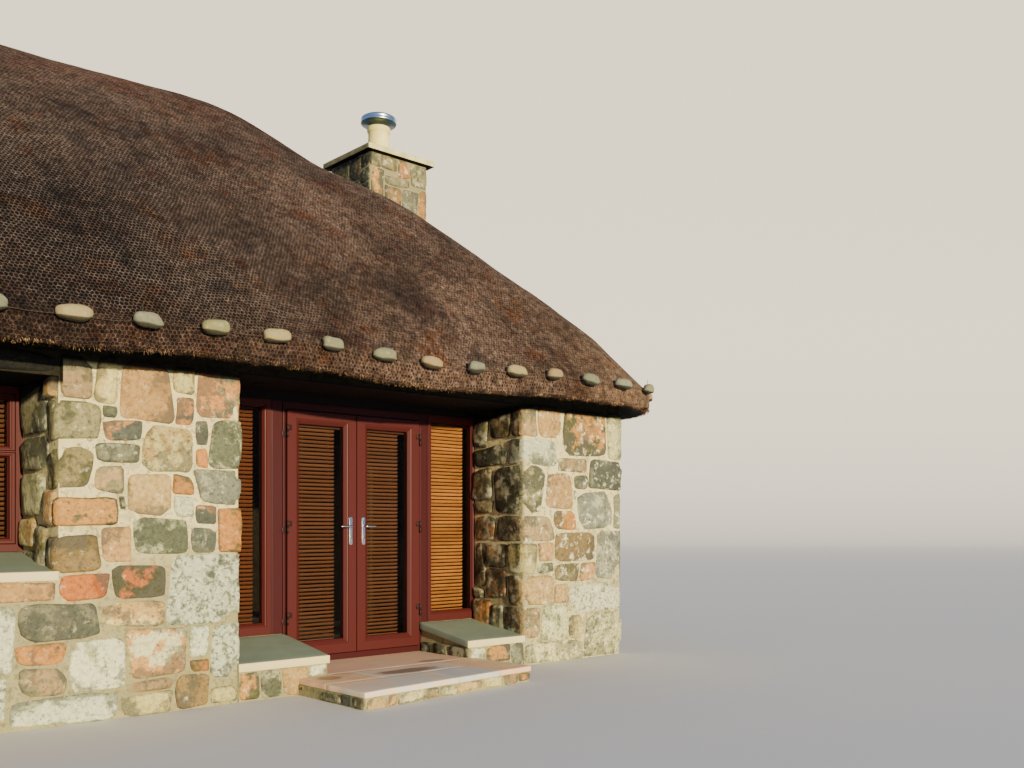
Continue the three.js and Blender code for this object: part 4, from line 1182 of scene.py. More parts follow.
def buildThatch():
    rings = outerRings()
    rows, spots = [], []
    climbX = climbY = 0.0
    before = None
    for halfX, halfY, radius, height in rings:
        flat, sides = roofRing(halfX, halfY, radius)
        rows.append(np.column_stack([flat, np.full(len(flat), height)]))
        if before:
            climbX += math.hypot(halfX - before[0], height - before[2])
            climbY += math.hypot(halfY - before[1], height - before[2])
        before = halfX, halfY, height
        spots.append([np.column_stack([u + 40 + 13.7 * k, np.full(len(u), climbX if k % 2 else climbY)])
                      for k, u in enumerate(sides)])
    count = len(rows[0])
    points = np.concatenate(rows)
    outward = ringNormals(points, len(rows), count)
    level = np.repeat(np.arange(len(rows)), count)
    sag = thatch["sag"]
    bulge = sum(drift(points, size, seed) * sag * share
                for size, seed, share in ((0.9, 31, 1.0), (0.33, 32, 0.45), (0.12, 33, 0.2)))
    for place, reach, amount in thatch["lumps"]:
        away = np.linalg.norm(np.abs(points) - place, axis=1) / reach
        bulge = bulge + amount * np.exp(-away ** 2 * 1.6) * np.clip((level - 8) / 8, 0, 1)
    points = points + outward * ((bulge - sag * 0.5) * np.clip(level / 6, 0.25, 1))[:, None]
    points[:, 2] -= eaveDrop(points[:, 0], points[:, 1]) * np.clip(1 - (level - 9) / 16, 0, 1)
    foot = level == 0
    points[foot, 2] += drift(points[foot], 0.08, 34) * 0.007
    shape = Shape().add(points, ringFaces(len(rows), count))
    for lower, upper in zip(spots, spots[1:]):
        for low, high in zip(lower, upper):
            shape.spots.append(np.stack([low[:-1], low[1:], high[1:], high[:-1]], 1).reshape(-1, 2))
    # The last ring closes along the ridge
    ridge = np.arange(count) + len(points) - count
    caps = [(ridge[i], ridge[i + 1], ridge[-i - 2], ridge[-i - 1]) for i in range(count // 2 - 1)]
    shape.faces.append(np.array(caps))
    shape.spots.append(points[np.array(caps).ravel(), :2] + (40, 7.0))
    made = shape.piece("thatch_coat", netLook, slot="thatch")
    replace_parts(made, "thatch")

    # Underside of the eaves, from the lip back to the wall, and the inner face of the thatch
    bed, side, end = thatch["bed"], right - 0.45, back - 0.45
    inner = [rings[0], (eaveX - 0.16, eaveY - 0.16, 0.76, lipBottom + thatch["lipLift"] + 0.02),
             (right + 0.02, back + 0.02, 0.03, bed), (side, end, 0.2, bed)]
    for share in (0.13, 0.26, 0.4, 0.56, 0.72, 0.86, 0.985):
        halfX, halfY = 1.5 + (side - 1.5) * (1 - share), end * (1 - share)
        inner.append((halfX, halfY, halfY * 0.12, bed + thatch["innerRise"] * (1 - (1 - share) ** 1.45)))
    points = np.concatenate([np.column_stack([roofRing(*sizes)[0], np.full(count, height)])
                             for *sizes, height in inner])
    atLip = np.repeat(np.arange(len(inner)), count) < 2
    points[:, 2] += (drift(points, 0.05, 35) * 0.006 - eaveDrop(points[:, 0], points[:, 1])) * atLip
    under = Shape().add(points, ringFaces(len(inner), count)[:, ::-1])
    under.piece("thatch_underside", eaveShadeLook, slot="thatch")
    print("thatch made")


# Ragged reed ends along the lip
def buildStraws():
    chance = np.random.default_rng(77)
    count, deep = thatch["straws"], 0.09
    radius = thatch["cornerShares"][0] * eaveY
    inset = chance.uniform(0.004, 0.085, count)
    place = chance.uniform(0, 1, count)
    rings = [roofRing(eaveX - i, eaveY - i, radius - i)[0] for i in (0.0, deep)]
    outer, inner = (np.concatenate([ring, ring[:1]]) for ring in rings)
    lengths = np.concatenate([[0], np.cumsum(np.linalg.norm(np.diff(outer, axis=0), axis=1))])
    at = place * lengths[-1]
    fore, rear = (np.stack([np.interp(at, lengths, axis) for axis in ring.T], -1) for ring in (outer, inner))
    height = lipBottom + thatch["lipLift"] + 0.022 - inset * 0.2 - eaveDrop(*fore.T)
    root = np.column_stack([fore + (rear - fore) * (inset / deep)[:, None], height])
    clump = 0.5 + 0.5 * drift(root, 0.11, 36)
    length = chance.uniform(0.002, 0.013, count) * (0.3 + clump * 0.9)
    lean = chance.normal(0, 0.55, (count, 2))
    tip = root + np.column_stack([lean * length[:, None], -length - 0.012])
    thick = chance.uniform(0.0018, 0.0042, count)
    spin = chance.uniform(0, 6.3, count)
    turns = [spin + k * 2.0944 for k in range(3)]
    foot = [root + np.column_stack([np.cos(turn) * thick, np.sin(turn) * thick, thick * 0]) for turn in turns]
    straw = np.array([(0, 1, 3), (1, 2, 3), (2, 0, 3), (2, 1, 0)])
    shape = Shape().add(np.stack([*foot, tip], 1), straw + (np.arange(count) * 4)[:, None, None])
    shape.piece("reed_ends", reedLook, slot="thatch", smooth=False)


# Cobbles tied along the foot of the netting
cobbles = {"spacing": 0.424, "length": 0.205, "depth": 0.088, "height": 0.104, "line": 2.432, "wire": 0.003}
cobbleKinds = ("7f8066", "a09062", "94915c", "85866b", "968b66", "a28a5e", "767a60", "8b8a68")


def cobbleFinish():
    f = Finish("cobble")
    spot = f.place()
    mottle = f.noise(spot, 28.0, 5, 0.65)
    colour = f.mix(f.edge(mottle, 0.5, 0.75) * 0.4, f.tint("tint"), "b6b39a")
    colour = f.mix(f.edge(f.noise(spot, 60.0, 3, 0.7), 0.56, 0.7) * 0.6, colour, "57584c")
    # Painted shade on the faces that look down
    colour = f.mix(f.against("Z", 0.25, 0.6) * 0.85, colour, "17130c")
    normal = f.bump(mottle + f.noise(spot, 120.0, 3) * 0.3, 0.006, 0.7)
    return f.done(Base_Color=colour, Roughness=0.82, Normal=normal)


def wireFinish():
    f = Finish("galvanisedWire")
    dull = f.noise(f.place(), 60.0, 3)
    return f.done(Base_Color=f.mix(dull, "2e2621", "5a4f47"), Roughness=0.6 + dull * 0.2, Metallic=0.3)


# A place on the eave of one side: its point, the ways along and out, and the length of the side
def eaveStand(side, distance, offset=0.0):
    inner = thatch["cornerShares"][0] * eaveY
    radius = inner + offset
    along, across = (eaveX, eaveY) if side % 2 == 0 else (eaveY, eaveX)
    straight, arc = along - inner, radius * math.pi / 4
    way, out = (np.array(v, float) for v in sideWays[side])
    angle = (min(distance - arc, 0) + max(distance - arc - 2 * straight, 0)) / radius
    a = min(max(distance - arc - straight, -straight), straight) + radius * math.sin(angle)
    b = across - inner + radius * math.cos(angle)
    return (a * way + b * out, way * math.cos(angle) - out * math.sin(angle),
            way * math.sin(angle) + out * math.cos(angle), 2 * (straight + arc))


def buildCobbles():
    chance = np.random.default_rng(88)
    cobbleLook, wireLook = cobbleFinish(), wireFinish()
    spacing, depth = cobbles["spacing"], cobbles["depth"]
    around, rows = 18, 9
    turn, rise = fullTurn(around), np.linspace(-math.pi / 2, math.pi / 2, rows + 2)[1:-1]
    ring = np.cos(rise)[:, None] ** 0.75
    ball = np.stack([squared(np.cos(turn), 0.8) * ring, squared(np.sin(turn), 0.8) * ring,
                     np.repeat(squared(np.sin(rise), 0.8)[:, None], around, 1)], -1).reshape(-1, 3)
    ball = np.concatenate([ball, [[0, 0, -1], [0, 0, 1]]])
    faces = skinFaces(rows, around, rows * around, rows * around + 1)[:, ::-1]
    for side, label in enumerate(("front", "right", "back", "left")):
        total = eaveStand(side, 0)[3]
        count = int(total / spacing)
        first = (total - (count - 1) * spacing) / 2
        stones, wires = Shape(), Shape()
        for i in range(count):
            length = cobbles["length"] * (0.9 + 0.1 * math.sin(i * 2.4)) * chance.uniform(0.94, 1.02)
            place, along, out, _ = eaveStand(side, first + i * spacing)
            lump = drift(ball + i * 5.3 + side * 31, 0.9, 41) * 0.15 + drift(ball + i * 5.3, 0.4, 42) * 0.05
            local = ball * (1 + lump)[:, None]
            local[:, 2] += local[:, 0] * chance.uniform(-0.15, 0.15)
            local[:, 2] *= np.where(local[:, 2] < 0, 0.82, 1)
            local = local * (length, depth, cobbles["height"]) / 2
            local[:, 1] = np.minimum(local[:, 1], depth * 0.47)
            height = cobbles["line"] - eaveDrop(*place)
            centre = np.array([*(place + out * (depth / 2 - 0.016)), height])
            tint = plainTint(tone(chance.choice(cobbleKinds)), 0) * chance.uniform(0.7, 0.92)
            stones.add(centre + local @ [[*along, 0], [*-out, 0], [0, 0, 1]], faces, tint)
            # The netting's wire is twisted together above the cobble
            at = chance.uniform(-0.2, 0.2) * length
            twist = []
            for t in np.linspace(0, 1, 9):
                x, y = place + along * (at + math.sin(t * 14) * 0.004) + out * 0.006
                twist.append((x, y, height + 0.045 + t * 0.05))
            bar(wires, twist, 0.0024, 5)
        line = []
        steps = int(total / 0.07)
        for k in range(steps + 1):
            at = 0.006 + (total - 0.012) * k / steps
            place = eaveStand(side, at, 0.007)[0]
            sag = 0.012 * abs(math.sin(math.pi * (at - first) / spacing))
            line.append([*place, cobbles["line"] - eaveDrop(*place) - sag])
        bar(wires, line, cobbles["wire"] / 2, 6)
        made = stones.piece(f"cobbles_{label}", cobbleLook, slot="cobbles")
        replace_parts(made, f"netting_weights_{label}")
        wires.piece(f"edge_wire_{label}", wireLook, slot="cobbles")
    print("cobbles tied on")


buildThatch()
buildStraws()
buildCobbles()


# Painted frames, blinds, slate, flags, metal, concrete and timber, glass
def redFinish(name, paint, deep):
    f = Finish(name)
    grain = f.noise(f.place((1, 1, 0.05)), 90.0, 4, 0.6)
    broad = f.noise(f.place(), 1.7, 3, 0.5)
    colour = f.mix(grain * 0.35 + broad * 0.35, paint, deep)
    return f.done(Base_Color=colour, Roughness=0.36 + broad * 0.12, Normal=f.bump(grain, 0.0012, 0.35),
                  Specular_IOR_Level=0.22)


def slatFinish():
    f = Finish("blindSlats")
    grain = f.noise(f.place((0.08, 1, 1)), 160.0, 4, 0.65)
    broad = f.noise(f.place((0.25, 1, 1)), 6.0, 3, 0.6)
    colour = f.mix(f.edge(grain * 0.5 + broad * 0.5, 0.36, 0.66) * 0.6, f.tint("tint"), "7d4a1c")
    normal = f.bump(grain, 0.0008, 0.4)
    return f.done(Base_Color=colour, Roughness=0.42, Normal=normal, Specular_IOR_Level=0.4)


def slateFinish():
    f = Finish("slateSill")
    spot = f.place()
    cloud, grit = f.noise(spot, 5.0, 5, 0.6), f.noise(spot, 120.0, 4, 0.7)
    # The fore edge is pale where it faces out of the wall
    fore = f.edge(f.reach(spot, "Y") + (grit - 0.5) * 0.006, 2.9575, 2.9625)
    colour = f.mix(fore, f.mix(cloud, "6d7c6c", "8b9a86"), f.mix(cloud, "d8c68c", "ecddaa"))
    colour = f.mix(f.edge(grit, 0.55, 0.75) * 0.35, colour, "6b6a5f")
    normal = f.bump(grit * 0.4 + cloud * 0.6, 0.003, 0.6)
    return f.done(Base_Color=colour, Roughness=0.62 + cloud * 0.2, Normal=normal)


def flagFinish():
    f = Finish("sandstoneFlag")
    spot = f.place()
    cloud, grit = f.noise(spot, 3.4, 5, 0.62), f.noise(spot, 85.0, 4, 0.7)
    colour = f.mix(f.edge(cloud, 0.42, 0.62), f.tint("tint"), f.tint("patch"))
    colour = f.mix(f.edge(grit, 0.52, 0.72) * 0.25, colour, "a08c7a")
    for x, y, halfX, halfY, depth in flags["stains"]:
        away = f.vector("DIVIDE", f.vector("SUBTRACT", spot, (x, y, 0.12)), (halfX, halfY, 0.5))
        reach = f.vector("LENGTH", away, out="Value") + (f.noise(spot, 7.0, 4, 0.6) - 0.5) * 0.7
        colour = f.mix((1 - f.edge(reach, 0.55, 1.0)) * depth, colour, "63452a")
    return f.done(Base_Color=colour, Roughness=0.78, Normal=f.bump(cloud + grit * 0.4, 0.004, 0.7),
                  Specular_IOR_Level=0.3)


def metalFinish(name, colour, rough, under=None):
    f = Finish(name)
    # under is painted shade: the tone of the faces that look down, such as the cowl's underside
    shown = f.mix(f.against("Z", 0.25, 0.6), colour, under) if under else tone(colour)
    return f.done(Base_Color=shown, Roughness=rough + f.noise(f.place(), 30.0, 3, 0.6) * 0.12, Metallic=1.0)


# under and lee are painted shade: the tones of what faces down and of what faces away from the sun
def chalkyFinish(name, first, second, rough=0.85, scale=9.0, depth=0.004, under=None, leeShade=None):
    f = Finish(name)
    spot = f.place()
    cloud, grit = f.noise(spot, scale, 5, 0.62), f.noise(spot, 130.0, 4, 0.7)
    colour = f.mix(f.edge(cloud * 0.7 + grit * 0.3, 0.38, 0.64), first, second)
    if under:
        colour = f.mix(f.against("Z", 0.25, 0.6), colour, under)
    if leeShade:
        colour = f.mix(f.against("X", 0.6, 0.9) * 0.65, colour, leeShade)
    return f.done(Base_Color=colour, Roughness=rough, Normal=f.bump(cloud + grit * 0.5, depth, 0.7),
                  Specular_IOR_Level=0.25)


def glassFinish():
    return Finish("paneGlass").done(Base_Color="0c0b0b", Roughness=0.02, Alpha=0.16, Specular_IOR_Level=0.3)


flags = {
    "gap": 0.004,
    # Four plan corners from the front left anticlockwise, main colour and patch colour
    "slabs": (
        (((1.485, -3.799), (2.360, -3.706), (2.330, -3.300), (1.485, -3.340)), "f2cfa9", "dcd4c4"),
        (((2.360, -3.706), (2.790, -3.660), (2.760, -3.290), (2.330, -3.300)), "dcd6c8", "cccbc2"),
        (((2.790, -3.660), (3.149, -3.622), (3.149, -2.950), (2.720, -2.950)), "f2d09c", "eec098"),
        (((1.485, -3.340), (1.960, -3.318), (1.930, -2.950), (1.485, -2.950)), "f0c69c", "e0b68e"),
        (((1.960, -3.318), (2.760, -3.290), (2.720, -2.950), (1.930, -2.950)), "ecceb2", "dccfbc"),
        (((1.735, -2.950), (2.300, -2.950), (2.330, -2.2343), (1.735, -2.2343)), "eec09e", "e2c6aa"),
        (((2.300, -2.950), (3.0897, -2.950), (3.0897, -2.2343), (2.330, -2.2343)), "efc3a0", "e8c6a6"),
    ),
    # Place, half sizes and depth of each brown stain
    "stains": (
        (2.30, -3.17, 0.36, 0.12, 0.75), (1.66, -3.10, 0.13, 0.10, 0.6), (2.76, -2.86, 0.16, 0.07, 0.55),
    ),
}

redLook = redFinish("mahoganyRed", "50201d", "3e1614")
# The mullions take a darker copy of the red paint, as painted shade
shadedRedLook = redFinish("mahoganyShaded", "431718", "310f11")
hingeLook = redFinish("hingeBrown", "2f1816", "231110")
slatLook = slatFinish()
slateLook = slateFinish()
flagLook = flagFinish()
chromeLook = metalFinish("polishedChrome", "d9dadc", 0.12)
cowlLook = metalFinish("cowlSteel", "b9cede", 0.25, under="5e6c73")
keyLook = metalFinish("keyBrass", "8d8468", 0.35)
capLook = chalkyFinish("capConcrete", "c2ba7c", "eee3a4", under="0b0a08", leeShade="24261f")
potLook = chalkyFinish("potClay", "ecd982", "fdf1a4", 0.7, 7.0, 0.002)
timberLook = chalkyFinish("darkTimber", "0d0908", "17100d", 0.75, 6.0, 0.002)
screedLook = chalkyFinish("screed", "6f6a62", "857f75")
glassLook = glassFinish()


# A closed skin through rings of points
def skin(shape, rings, tints=None):
    rings = np.array(rings)
    rows, count = rings.shape[:2]
    points = np.concatenate([rings.reshape(-1, 3), rings[:1].mean(1), rings[-1:].mean(1)])
    return shape.add(points, skinFaces(rows, count, rows * count, rows * count + 1), tints)


# A plate raised from an outline in the x-z plane; levels are (inset, y) from its back towards the viewer
def raisedPlate(shape, outline, x, z, *levels):
    outline = np.array(outline)
    reach = np.maximum(np.linalg.norm(outline, axis=1), 1e-9)[:, None]
    rings = []
    for inset, y in levels:
        flat = outline * (1 - inset / reach)
        rings.append(np.stack([x + flat[:, 0], np.full(len(outline), y), z + flat[:, 1]], -1))
    return skin(shape, rings)


def roundedOutline(halfX, halfZ, radius, steps=6):
    points = []
    for k, (sx, sz) in enumerate(((1, 1), (-1, 1), (-1, -1), (1, -1))):
        for angle in math.pi / 2 * (k + np.arange(steps + 1) / steps):
            points.append((sx * (halfX - radius) + radius * math.cos(angle),
                           sz * (halfZ - radius) + radius * math.sin(angle)))
    return points


def disc(radius):
    return roundedOutline(radius, radius, radius - 0.00001)


joinery = {
    "hinges": (0.480, 1.192, 1.940),    # heights at which the two knuckles of each hinge meet
    "knuckle": 0.008,
    "leverHeight": 1.197,
    "stile": 0.114,                     # from the glass to the hinged edge of a leaf
    "posts": (1.640, 3.165),            # where the mullions meet the sidelights
    "headBottom": 2.111,
    "rim": 0.050,                       # of a window: its fixed frame, and from there to the glass
    "border": 0.0917,
    "rail": (1.640, 1.716),             # bottom and top of the transom between its panes
    "sashGap": 0.002,
}


# The opening in which a pane is seated, and the pane's fore face
def paneOpening(name):
    (x0, fore, z0), (x1, _, z1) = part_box(f"{name}_glass")
    return (x0 - seat, x1 + seat, z0 - seat, z1 + seat), fore


# A mitred sash: softened outer edge, flat face, groove and bead, and a splay down to the glass
def addSash(shape, outer, inner, fore, glass, behind, bead):
    edge = 0.003
    trimmed = (outer[0] + edge, outer[1] - edge, outer[2] + edge, outer[3] - edge)
    mitredFrame(shape, outer, inner, ((None, behind), (None, fore + edge)))
    mitredFrame(shape, outer, trimmed, ((None, fore + edge), (0.0, fore)))
    mitredFrame(shape, trimmed, inner, (
        (None, fore), (bead + 0.008, fore), (bead + 0.005, fore + 0.004), (bead + 0.002, fore + 0.004),
        (bead, fore + 0.002), (bead - 0.004, fore + 0.0035), (0.003, glass - 0.004), (0.0, glass - 0.0012),
        (0.0, behind)))


def buildLeaf(name, side):
    body = f"door_{name}"
    inner, glass = paneOpening(body)
    low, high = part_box(f"{body}_leaf")
    closing = (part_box("door_left_leaf")[1].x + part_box("door_right_leaf")[0].x) / 2 + side * 0.003
    hingeEdge = inner[0 if side < 0 else 1] + side * joinery["stile"]
    outer = (*sorted((closing, hingeEdge)), low.z, high.z)
    fore = doorPlane - 0.018
    leaf = Shape()
    addSash(leaf, outer, inner, fore, glass, doorPlane + 0.052, 0.03)
    made = leaf.piece(f"leaf_{name}", redLook, body, "red_frame", smooth=False)
    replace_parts(made, f"{body}_leaf")

    # Hinge halves: the knuckle's foot and top, and each flap's reach, fore and rear faces, trims and rounding
    axis, r = hingeEdge + side * 0.003, joinery["knuckle"]
    leafFlaps = ((-0.038, fore - 0.0115, fore + 0.001, 0.006, 0.004, 0.0045),)
    frameFlaps = ((0.038, doorPlane - 0.005, doorPlane + 0.001, 0.002, 0.002, 0.0025),
                  (0.005, fore - 0.012, doorPlane - 0.001, 0.002, 0.002, 0.0015))
    for label, rider, foot, top, flaps in (("leaf", body, 0, 0.05, leafFlaps),
                                           ("frame", "house", -0.05, -0.0005, frameFlaps)):
        hinge = Shape()
        for z in joinery["hinges"]:
            z0, z1 = z + foot, z + top
            profile = [(0, z0), (r - 0.0015, z0), (r, z0 + 0.0015),
                       (r, z1 - 0.0015), (r - 0.0015, z1), (0, z1)]
            turned(hinge, profile, axis, fore - 0.012, 24)
            for reach, flapFore, flapRear, below, above, rounding in flaps:
                x0, x1 = sorted((axis, axis + side * reach))
                wornBlock(hinge, (x0, flapFore, z0 + below), (x1, flapRear, z1 - above), rounding, 0.02)
        hinge.piece(f"hinges_{name}_{label}", hingeLook, rider, "red_frame")

    low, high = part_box(f"{body}_handle_plate")
    x, z, face = (low.x + high.x) / 2, (low.z + high.z) / 2, low.y
    plate = Shape()
    raisedPlate(plate, roundedOutline((high.x - low.x) / 2, (high.z - low.z) / 2, 0.0125), x, z, (0, high.y),
                (0, face + 0.003), (0.0006, face + 0.0012), (0.002, face + 0.0002), (0.004, face))
    for height in (z + 0.098, z - 0.098):
        raisedPlate(plate, disc(0.0042), x, height,
                    (0, face + 0.001), (0, face - 0.0006), (0.0012, face - 0.0013))
    made = plate.piece(f"plate_{name}", chromeLook, body, "chrome")
    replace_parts(made, f"{body}_handle_plate")

    grip = joinery["leverHeight"]
    lock, centre = Shape(), grip - 0.082
    raisedPlate(lock, disc(0.0085), x, centre, (0, face + 0.001), (0, face - 0.003), (0.001, face - 0.004))
    wornBlock(lock, (x - 0.005, face - 0.0035, centre - 0.023), (x + 0.005, face + 0.001, centre - 0.002),
              0.0015, 0.01)
    lock.piece(f"lock_{name}", keyLook, body, "chrome")

    # The lever: distance from its spindle, y, and radius
    low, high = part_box(f"{body}_lever")
    line = low.y + 0.009
    path = ((0, high.y, 0.009), (0, high.y - 0.012, 0.0086), (0, line + 0.009, 0.0082),
            (0.002, line + 0.004, 0.0084), (0.006, line + 0.001, 0.0086), (0.012, line, 0.0088),
            (0.03, line - 0.0002, 0.0086), (0.05, line, 0.0083), (0.07, line + 0.0015, 0.008),
            (0.088, line + 0.004, 0.0078), (0.1, line + 0.006, 0.0075), (0.107, line + 0.0075, 0.0068),
            (0.1105, line + 0.008, 0.0048), (0.112, line + 0.008, 0.002))
    places = [(x + side * away, y, grip) for away, y, _ in path]
    lever = bar(Shape(), places, [radius for *_, radius in path], 20)
    made = lever.piece(f"lever_{name}", chromeLook, f"lever_{name}", "chrome")
    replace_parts(made, f"{body}_lever")


def buildDoorFrame():
    low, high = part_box("door_frame")
    head, behind = high.z, high.y
    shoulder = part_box("plinth_left_sill")[1].z + seat
    posts = joinery["posts"]
    shape = Shape()
    for name, across in (("left", (low.x, posts[0])), ("right", (posts[1], high.x))):
        inner, glass = paneOpening(f"sidelight_{name}")
        addSash(shape, (*across, shoulder, head), inner, doorPlane, glass, behind, 0.02)
    made = shape.piece("sidelight_frames", redLook, "house", "red_frame", smooth=False)
    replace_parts(made, "door_frame")

    # Each mullion: its sides, its sides below the sills, and the bands on its face as shares of its width
    deep = Shape()
    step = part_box("step_flags")[1].z + seat
    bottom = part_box("door_left_leaf")[0].z - 0.006
    x0, x1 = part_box("door_left_leaf")[0].x + 0.005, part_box("door_right_leaf")[1].x - 0.005
    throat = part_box("plinth_left")[1].x + seat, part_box("plinth_right")[0].x - seat
    for (a, b), foot, bands in (((posts[0], x0), (throat[0], x0), ((0.0, 0.07), (0.10, 0.80), (0.83, 1.0))),
                                ((x1, posts[1]), (x1, throat[1]), ((0.0, 0.17), (0.20, 0.90), (0.93, 1.0)))):
        wornBlock(deep, (a, doorPlane + 0.012, shoulder), (b, behind, head), 0.002, 0.5)
        wornBlock(deep, (foot[0], doorPlane, step), (foot[1], behind, shoulder - seat), 0.002, 0.5)
        for (start, end), out in zip(bands, (0.0, 0.004, 0.0)):
            wornBlock(deep, (a + start * (b - a), doorPlane + out, shoulder),
                      (a + end * (b - a), doorPlane + 0.02, head), 0.0025, 0.5)
    for z0, z1, rounding in ((joinery["headBottom"], head, 0.003), (step, bottom, 0.004)):
        wornBlock(deep, (x0 + seat, doorPlane, z0), (x1 - seat, behind, z1), rounding, 0.5)
    deep.piece("mullions", shadedRedLook, "house", "red_frame", smooth=False)


# Windows at the back are built as if at the front and turned about
def buildWindow(name):
    (x0, y0, z0), (x1, y1, z1) = windows[name]
    turnedBack = y0 > 0
    if turnedBack:
        x0, x1, y0, y1 = -x1, -x0, -y1, -y0
    rim, border, rail, gap = (joinery[key] for key in ("rim", "border", "rail", "sashGap"))
    opening = (x0 + rim, x1 - rim, z0 + rim, z1 - rim)
    low, high = rail[0] + 0.031, rail[1] - 0.031
    shape = Shape()
    mitredFrame(shape, (x0, x1, z0, z1), opening, ((None, y1), (None, y0 + 0.003), (0.047, y0), (0.003, y0),
                                                   (0.0, y0 + 0.003), (0.0, y1)))
    wornBlock(shape, (opening[0], y0 + 0.004, low + gap), (opening[1], y1 - 0.001, high - gap), 0.002, 0.6)
    for bottom, top, pane in ((opening[2] + gap, low, (z0 + border, rail[0])),
                              (high, opening[3] - gap, (rail[1], z1 - border))):
        addSash(shape, (opening[0] + gap, opening[1] - gap, bottom, top), (x0 + border, x1 - border, *pane),
                y0 + 0.002, y1 - 0.0397, y1 - 0.002, 0.014)
    if turnedBack:
        shape.points = [points * (-1, -1, 1) for points in shape.points]
    made = shape.piece(f"window_{name}", redLook, "house", "red_frame", smooth=False)
    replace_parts(made, f"window_{name}_frame")


blinds = {
    "pitch": 0.031,
    "width": 0.0245,
    "thick": 0.0022,
    "crown": 0.0014,
    # piece: body, tilt in degrees, strip left open at the right, colour; the colours hold painted light and
    # shade, the right sidelight's blind painted bright for the sun on it
    "kinds": {
        "door_left": ("door_left", 48, 0.062, "7d5439"),
        "door_right": ("door_right", 48, 0.070, "7d5439"),
        "sidelight_left": ("house", 52, 0.058, "854b26"),
        "sidelight_right": ("house", 60, 0.058, "e0964e"),
        **{f"window_{name}": ("house", 48, 0.05, "7d5439") for name in windows},
    },
}


def buildBlind(name, body, tilt, strip, colour):
    (x0, y0, z0), (x1, y1, z1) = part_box(f"{name}_blind")
    chance = np.random.default_rng(len(name) * 7)
    middle = (y0 + y1) / 2
    way = 1 if middle < 0 else -1
    start, end = (x0 + 0.004, x1 - strip) if way > 0 else (x0 + strip, x1 - 0.004)
    # Section of a slat, crowned and tilted
    wide, thick, crown = blinds["width"], blinds["thick"] / 2, blinds["crown"]
    share = np.linspace(-0.5, 0.5, 6)
    arch = crown * (1 - 4 * share ** 2)
    across, up = np.concatenate([[share * wide, arch + thick], [share[::-1] * wide, arch[::-1] - thick]], 1)
    up = up - crown / 2
    angle = math.radians(tilt)
    fore = across * math.cos(angle) + up * math.sin(angle)
    rise = up * math.cos(angle) - across * math.sin(angle)
    bottom, top = z0 + 0.020, z1 - 0.030
    count = int((top - bottom) / blinds["pitch"])
    base, shape = np.array(tone(colour)), Shape()
    for i in range(count):
        z = bottom + (i + 0.5) * ((top - bottom) / count) + chance.normal(0, 0.0004)
        swing = chance.normal(0, 0.0006)
        rings = [np.stack([np.full(len(fore), x), middle - way * fore, z + shift - rise], -1)[::way]
                 for x, shift in ((start, -swing), (end, swing))]
        skin(shape, rings, plainTint(base * chance.uniform(0.82, 1.12)))
    # Head box, bottom rail and the cords before and behind the slats; the head box's dark brown is partly
    # painted shade under the frame's head
    dark, cord = plainTint(tone("4a2b16")), 0.0006
    wornBlock(shape, (x0, y0 + 0.0004, z1 - 0.026), (x1, y1 - 0.0004, z1), 0.002, 0.5, tints=dark)
    wornBlock(shape, (start, y0 + 0.002, z0), (end, y1 - 0.002, z0 + 0.014), 0.003, 0.5,
              tints=plainTint(base))
    for x in (start + (end - start) * 0.16, start + (end - start) * 0.84):
        for y in (y0 + cord, y1 - cord):
            bar(shape, [(x, y, z0 + 0.01), (x, y, z1 - 0.02)], cord, 5, dark * (3, 3, 3, 1, 1, 1, 1, 1))
    made = shape.piece(f"slats_{name}", slatLook, body, "slats", smooth=False)
    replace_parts(made, f"{name}_blind")


def buildSill(name, seed):
    (x0, y0, z0), (x1, y1, z1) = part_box(f"{name}_sill")
    turnedBack = y0 > 0
    fore, rear = (-y1, -y0) if turnedBack else (y0, y1)
    thick = 0.0557
    slope = (z1 - z0 - thick) / (rear - fore)
    shape = Shape()
    wornBlock(shape, (x0, fore, z1 - thick), (x1, rear, z1), 0.004, 0.05, 0.0018,
              lambda p: p - np.outer((rear - p[:, 1]) * slope, (0, 0, 1)), seed=seed)
    if turnedBack:
        shape.points = [points * (-1, -1, 1) + (x0 + x1, 0, 0) for points in shape.points]
    made = shape.piece(f"slate_{name}", slateLook, "house", "slate")
    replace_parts(made, f"{name}_sill")


def buildFlags():
    low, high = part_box("step_flags")
    gap = flags["gap"] / 2
    shape = Shape()
    for seed, (corners, main, other) in enumerate(flags["slabs"]):
        a, b, c, d = [np.array(corner) for corner in corners]
        wide, deep = np.linalg.norm(b - a), np.linalg.norm(d - a)

        # Lays a straight block into the slab's own four corners, with uneven edges and a slightly uneven top
        def settle(p):
            u, v = p[:, :1] / wide, p[:, 1:2] / deep
            flat = (a * (1 - u) + b * u) * (1 - v) + (d * (1 - u) + c * u) * v
            spot = np.c_[flat, p[:, 2] * 0]
            sway = np.stack([drift(spot, 0.13, 51), drift(spot, 0.13, 52)], -1) * 0.0035
            inner = np.minimum(np.minimum(u, 1 - u) * wide, np.minimum(v, 1 - v) * deep)
            lift = drift(spot, 0.22, 53) * 0.0012
            return np.c_[flat + sway * (inner < 0.03), p[:, 2] + lift * (p[:, 2] > low.z + 0.01)]

        tints = np.array([*tone(main)[:3], 0.5, *tone(other)[:3], 0.2])
        wornBlock(shape, (gap, gap, low.z), (wide - gap, deep - gap, high.z - 0.0015), 0.0035, 0.04, 0.0012,
                  settle, tints, seed + 90)
    made = shape.piece("flagstones", flagLook, "house", "sandstone")
    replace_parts(made, "step_flags")


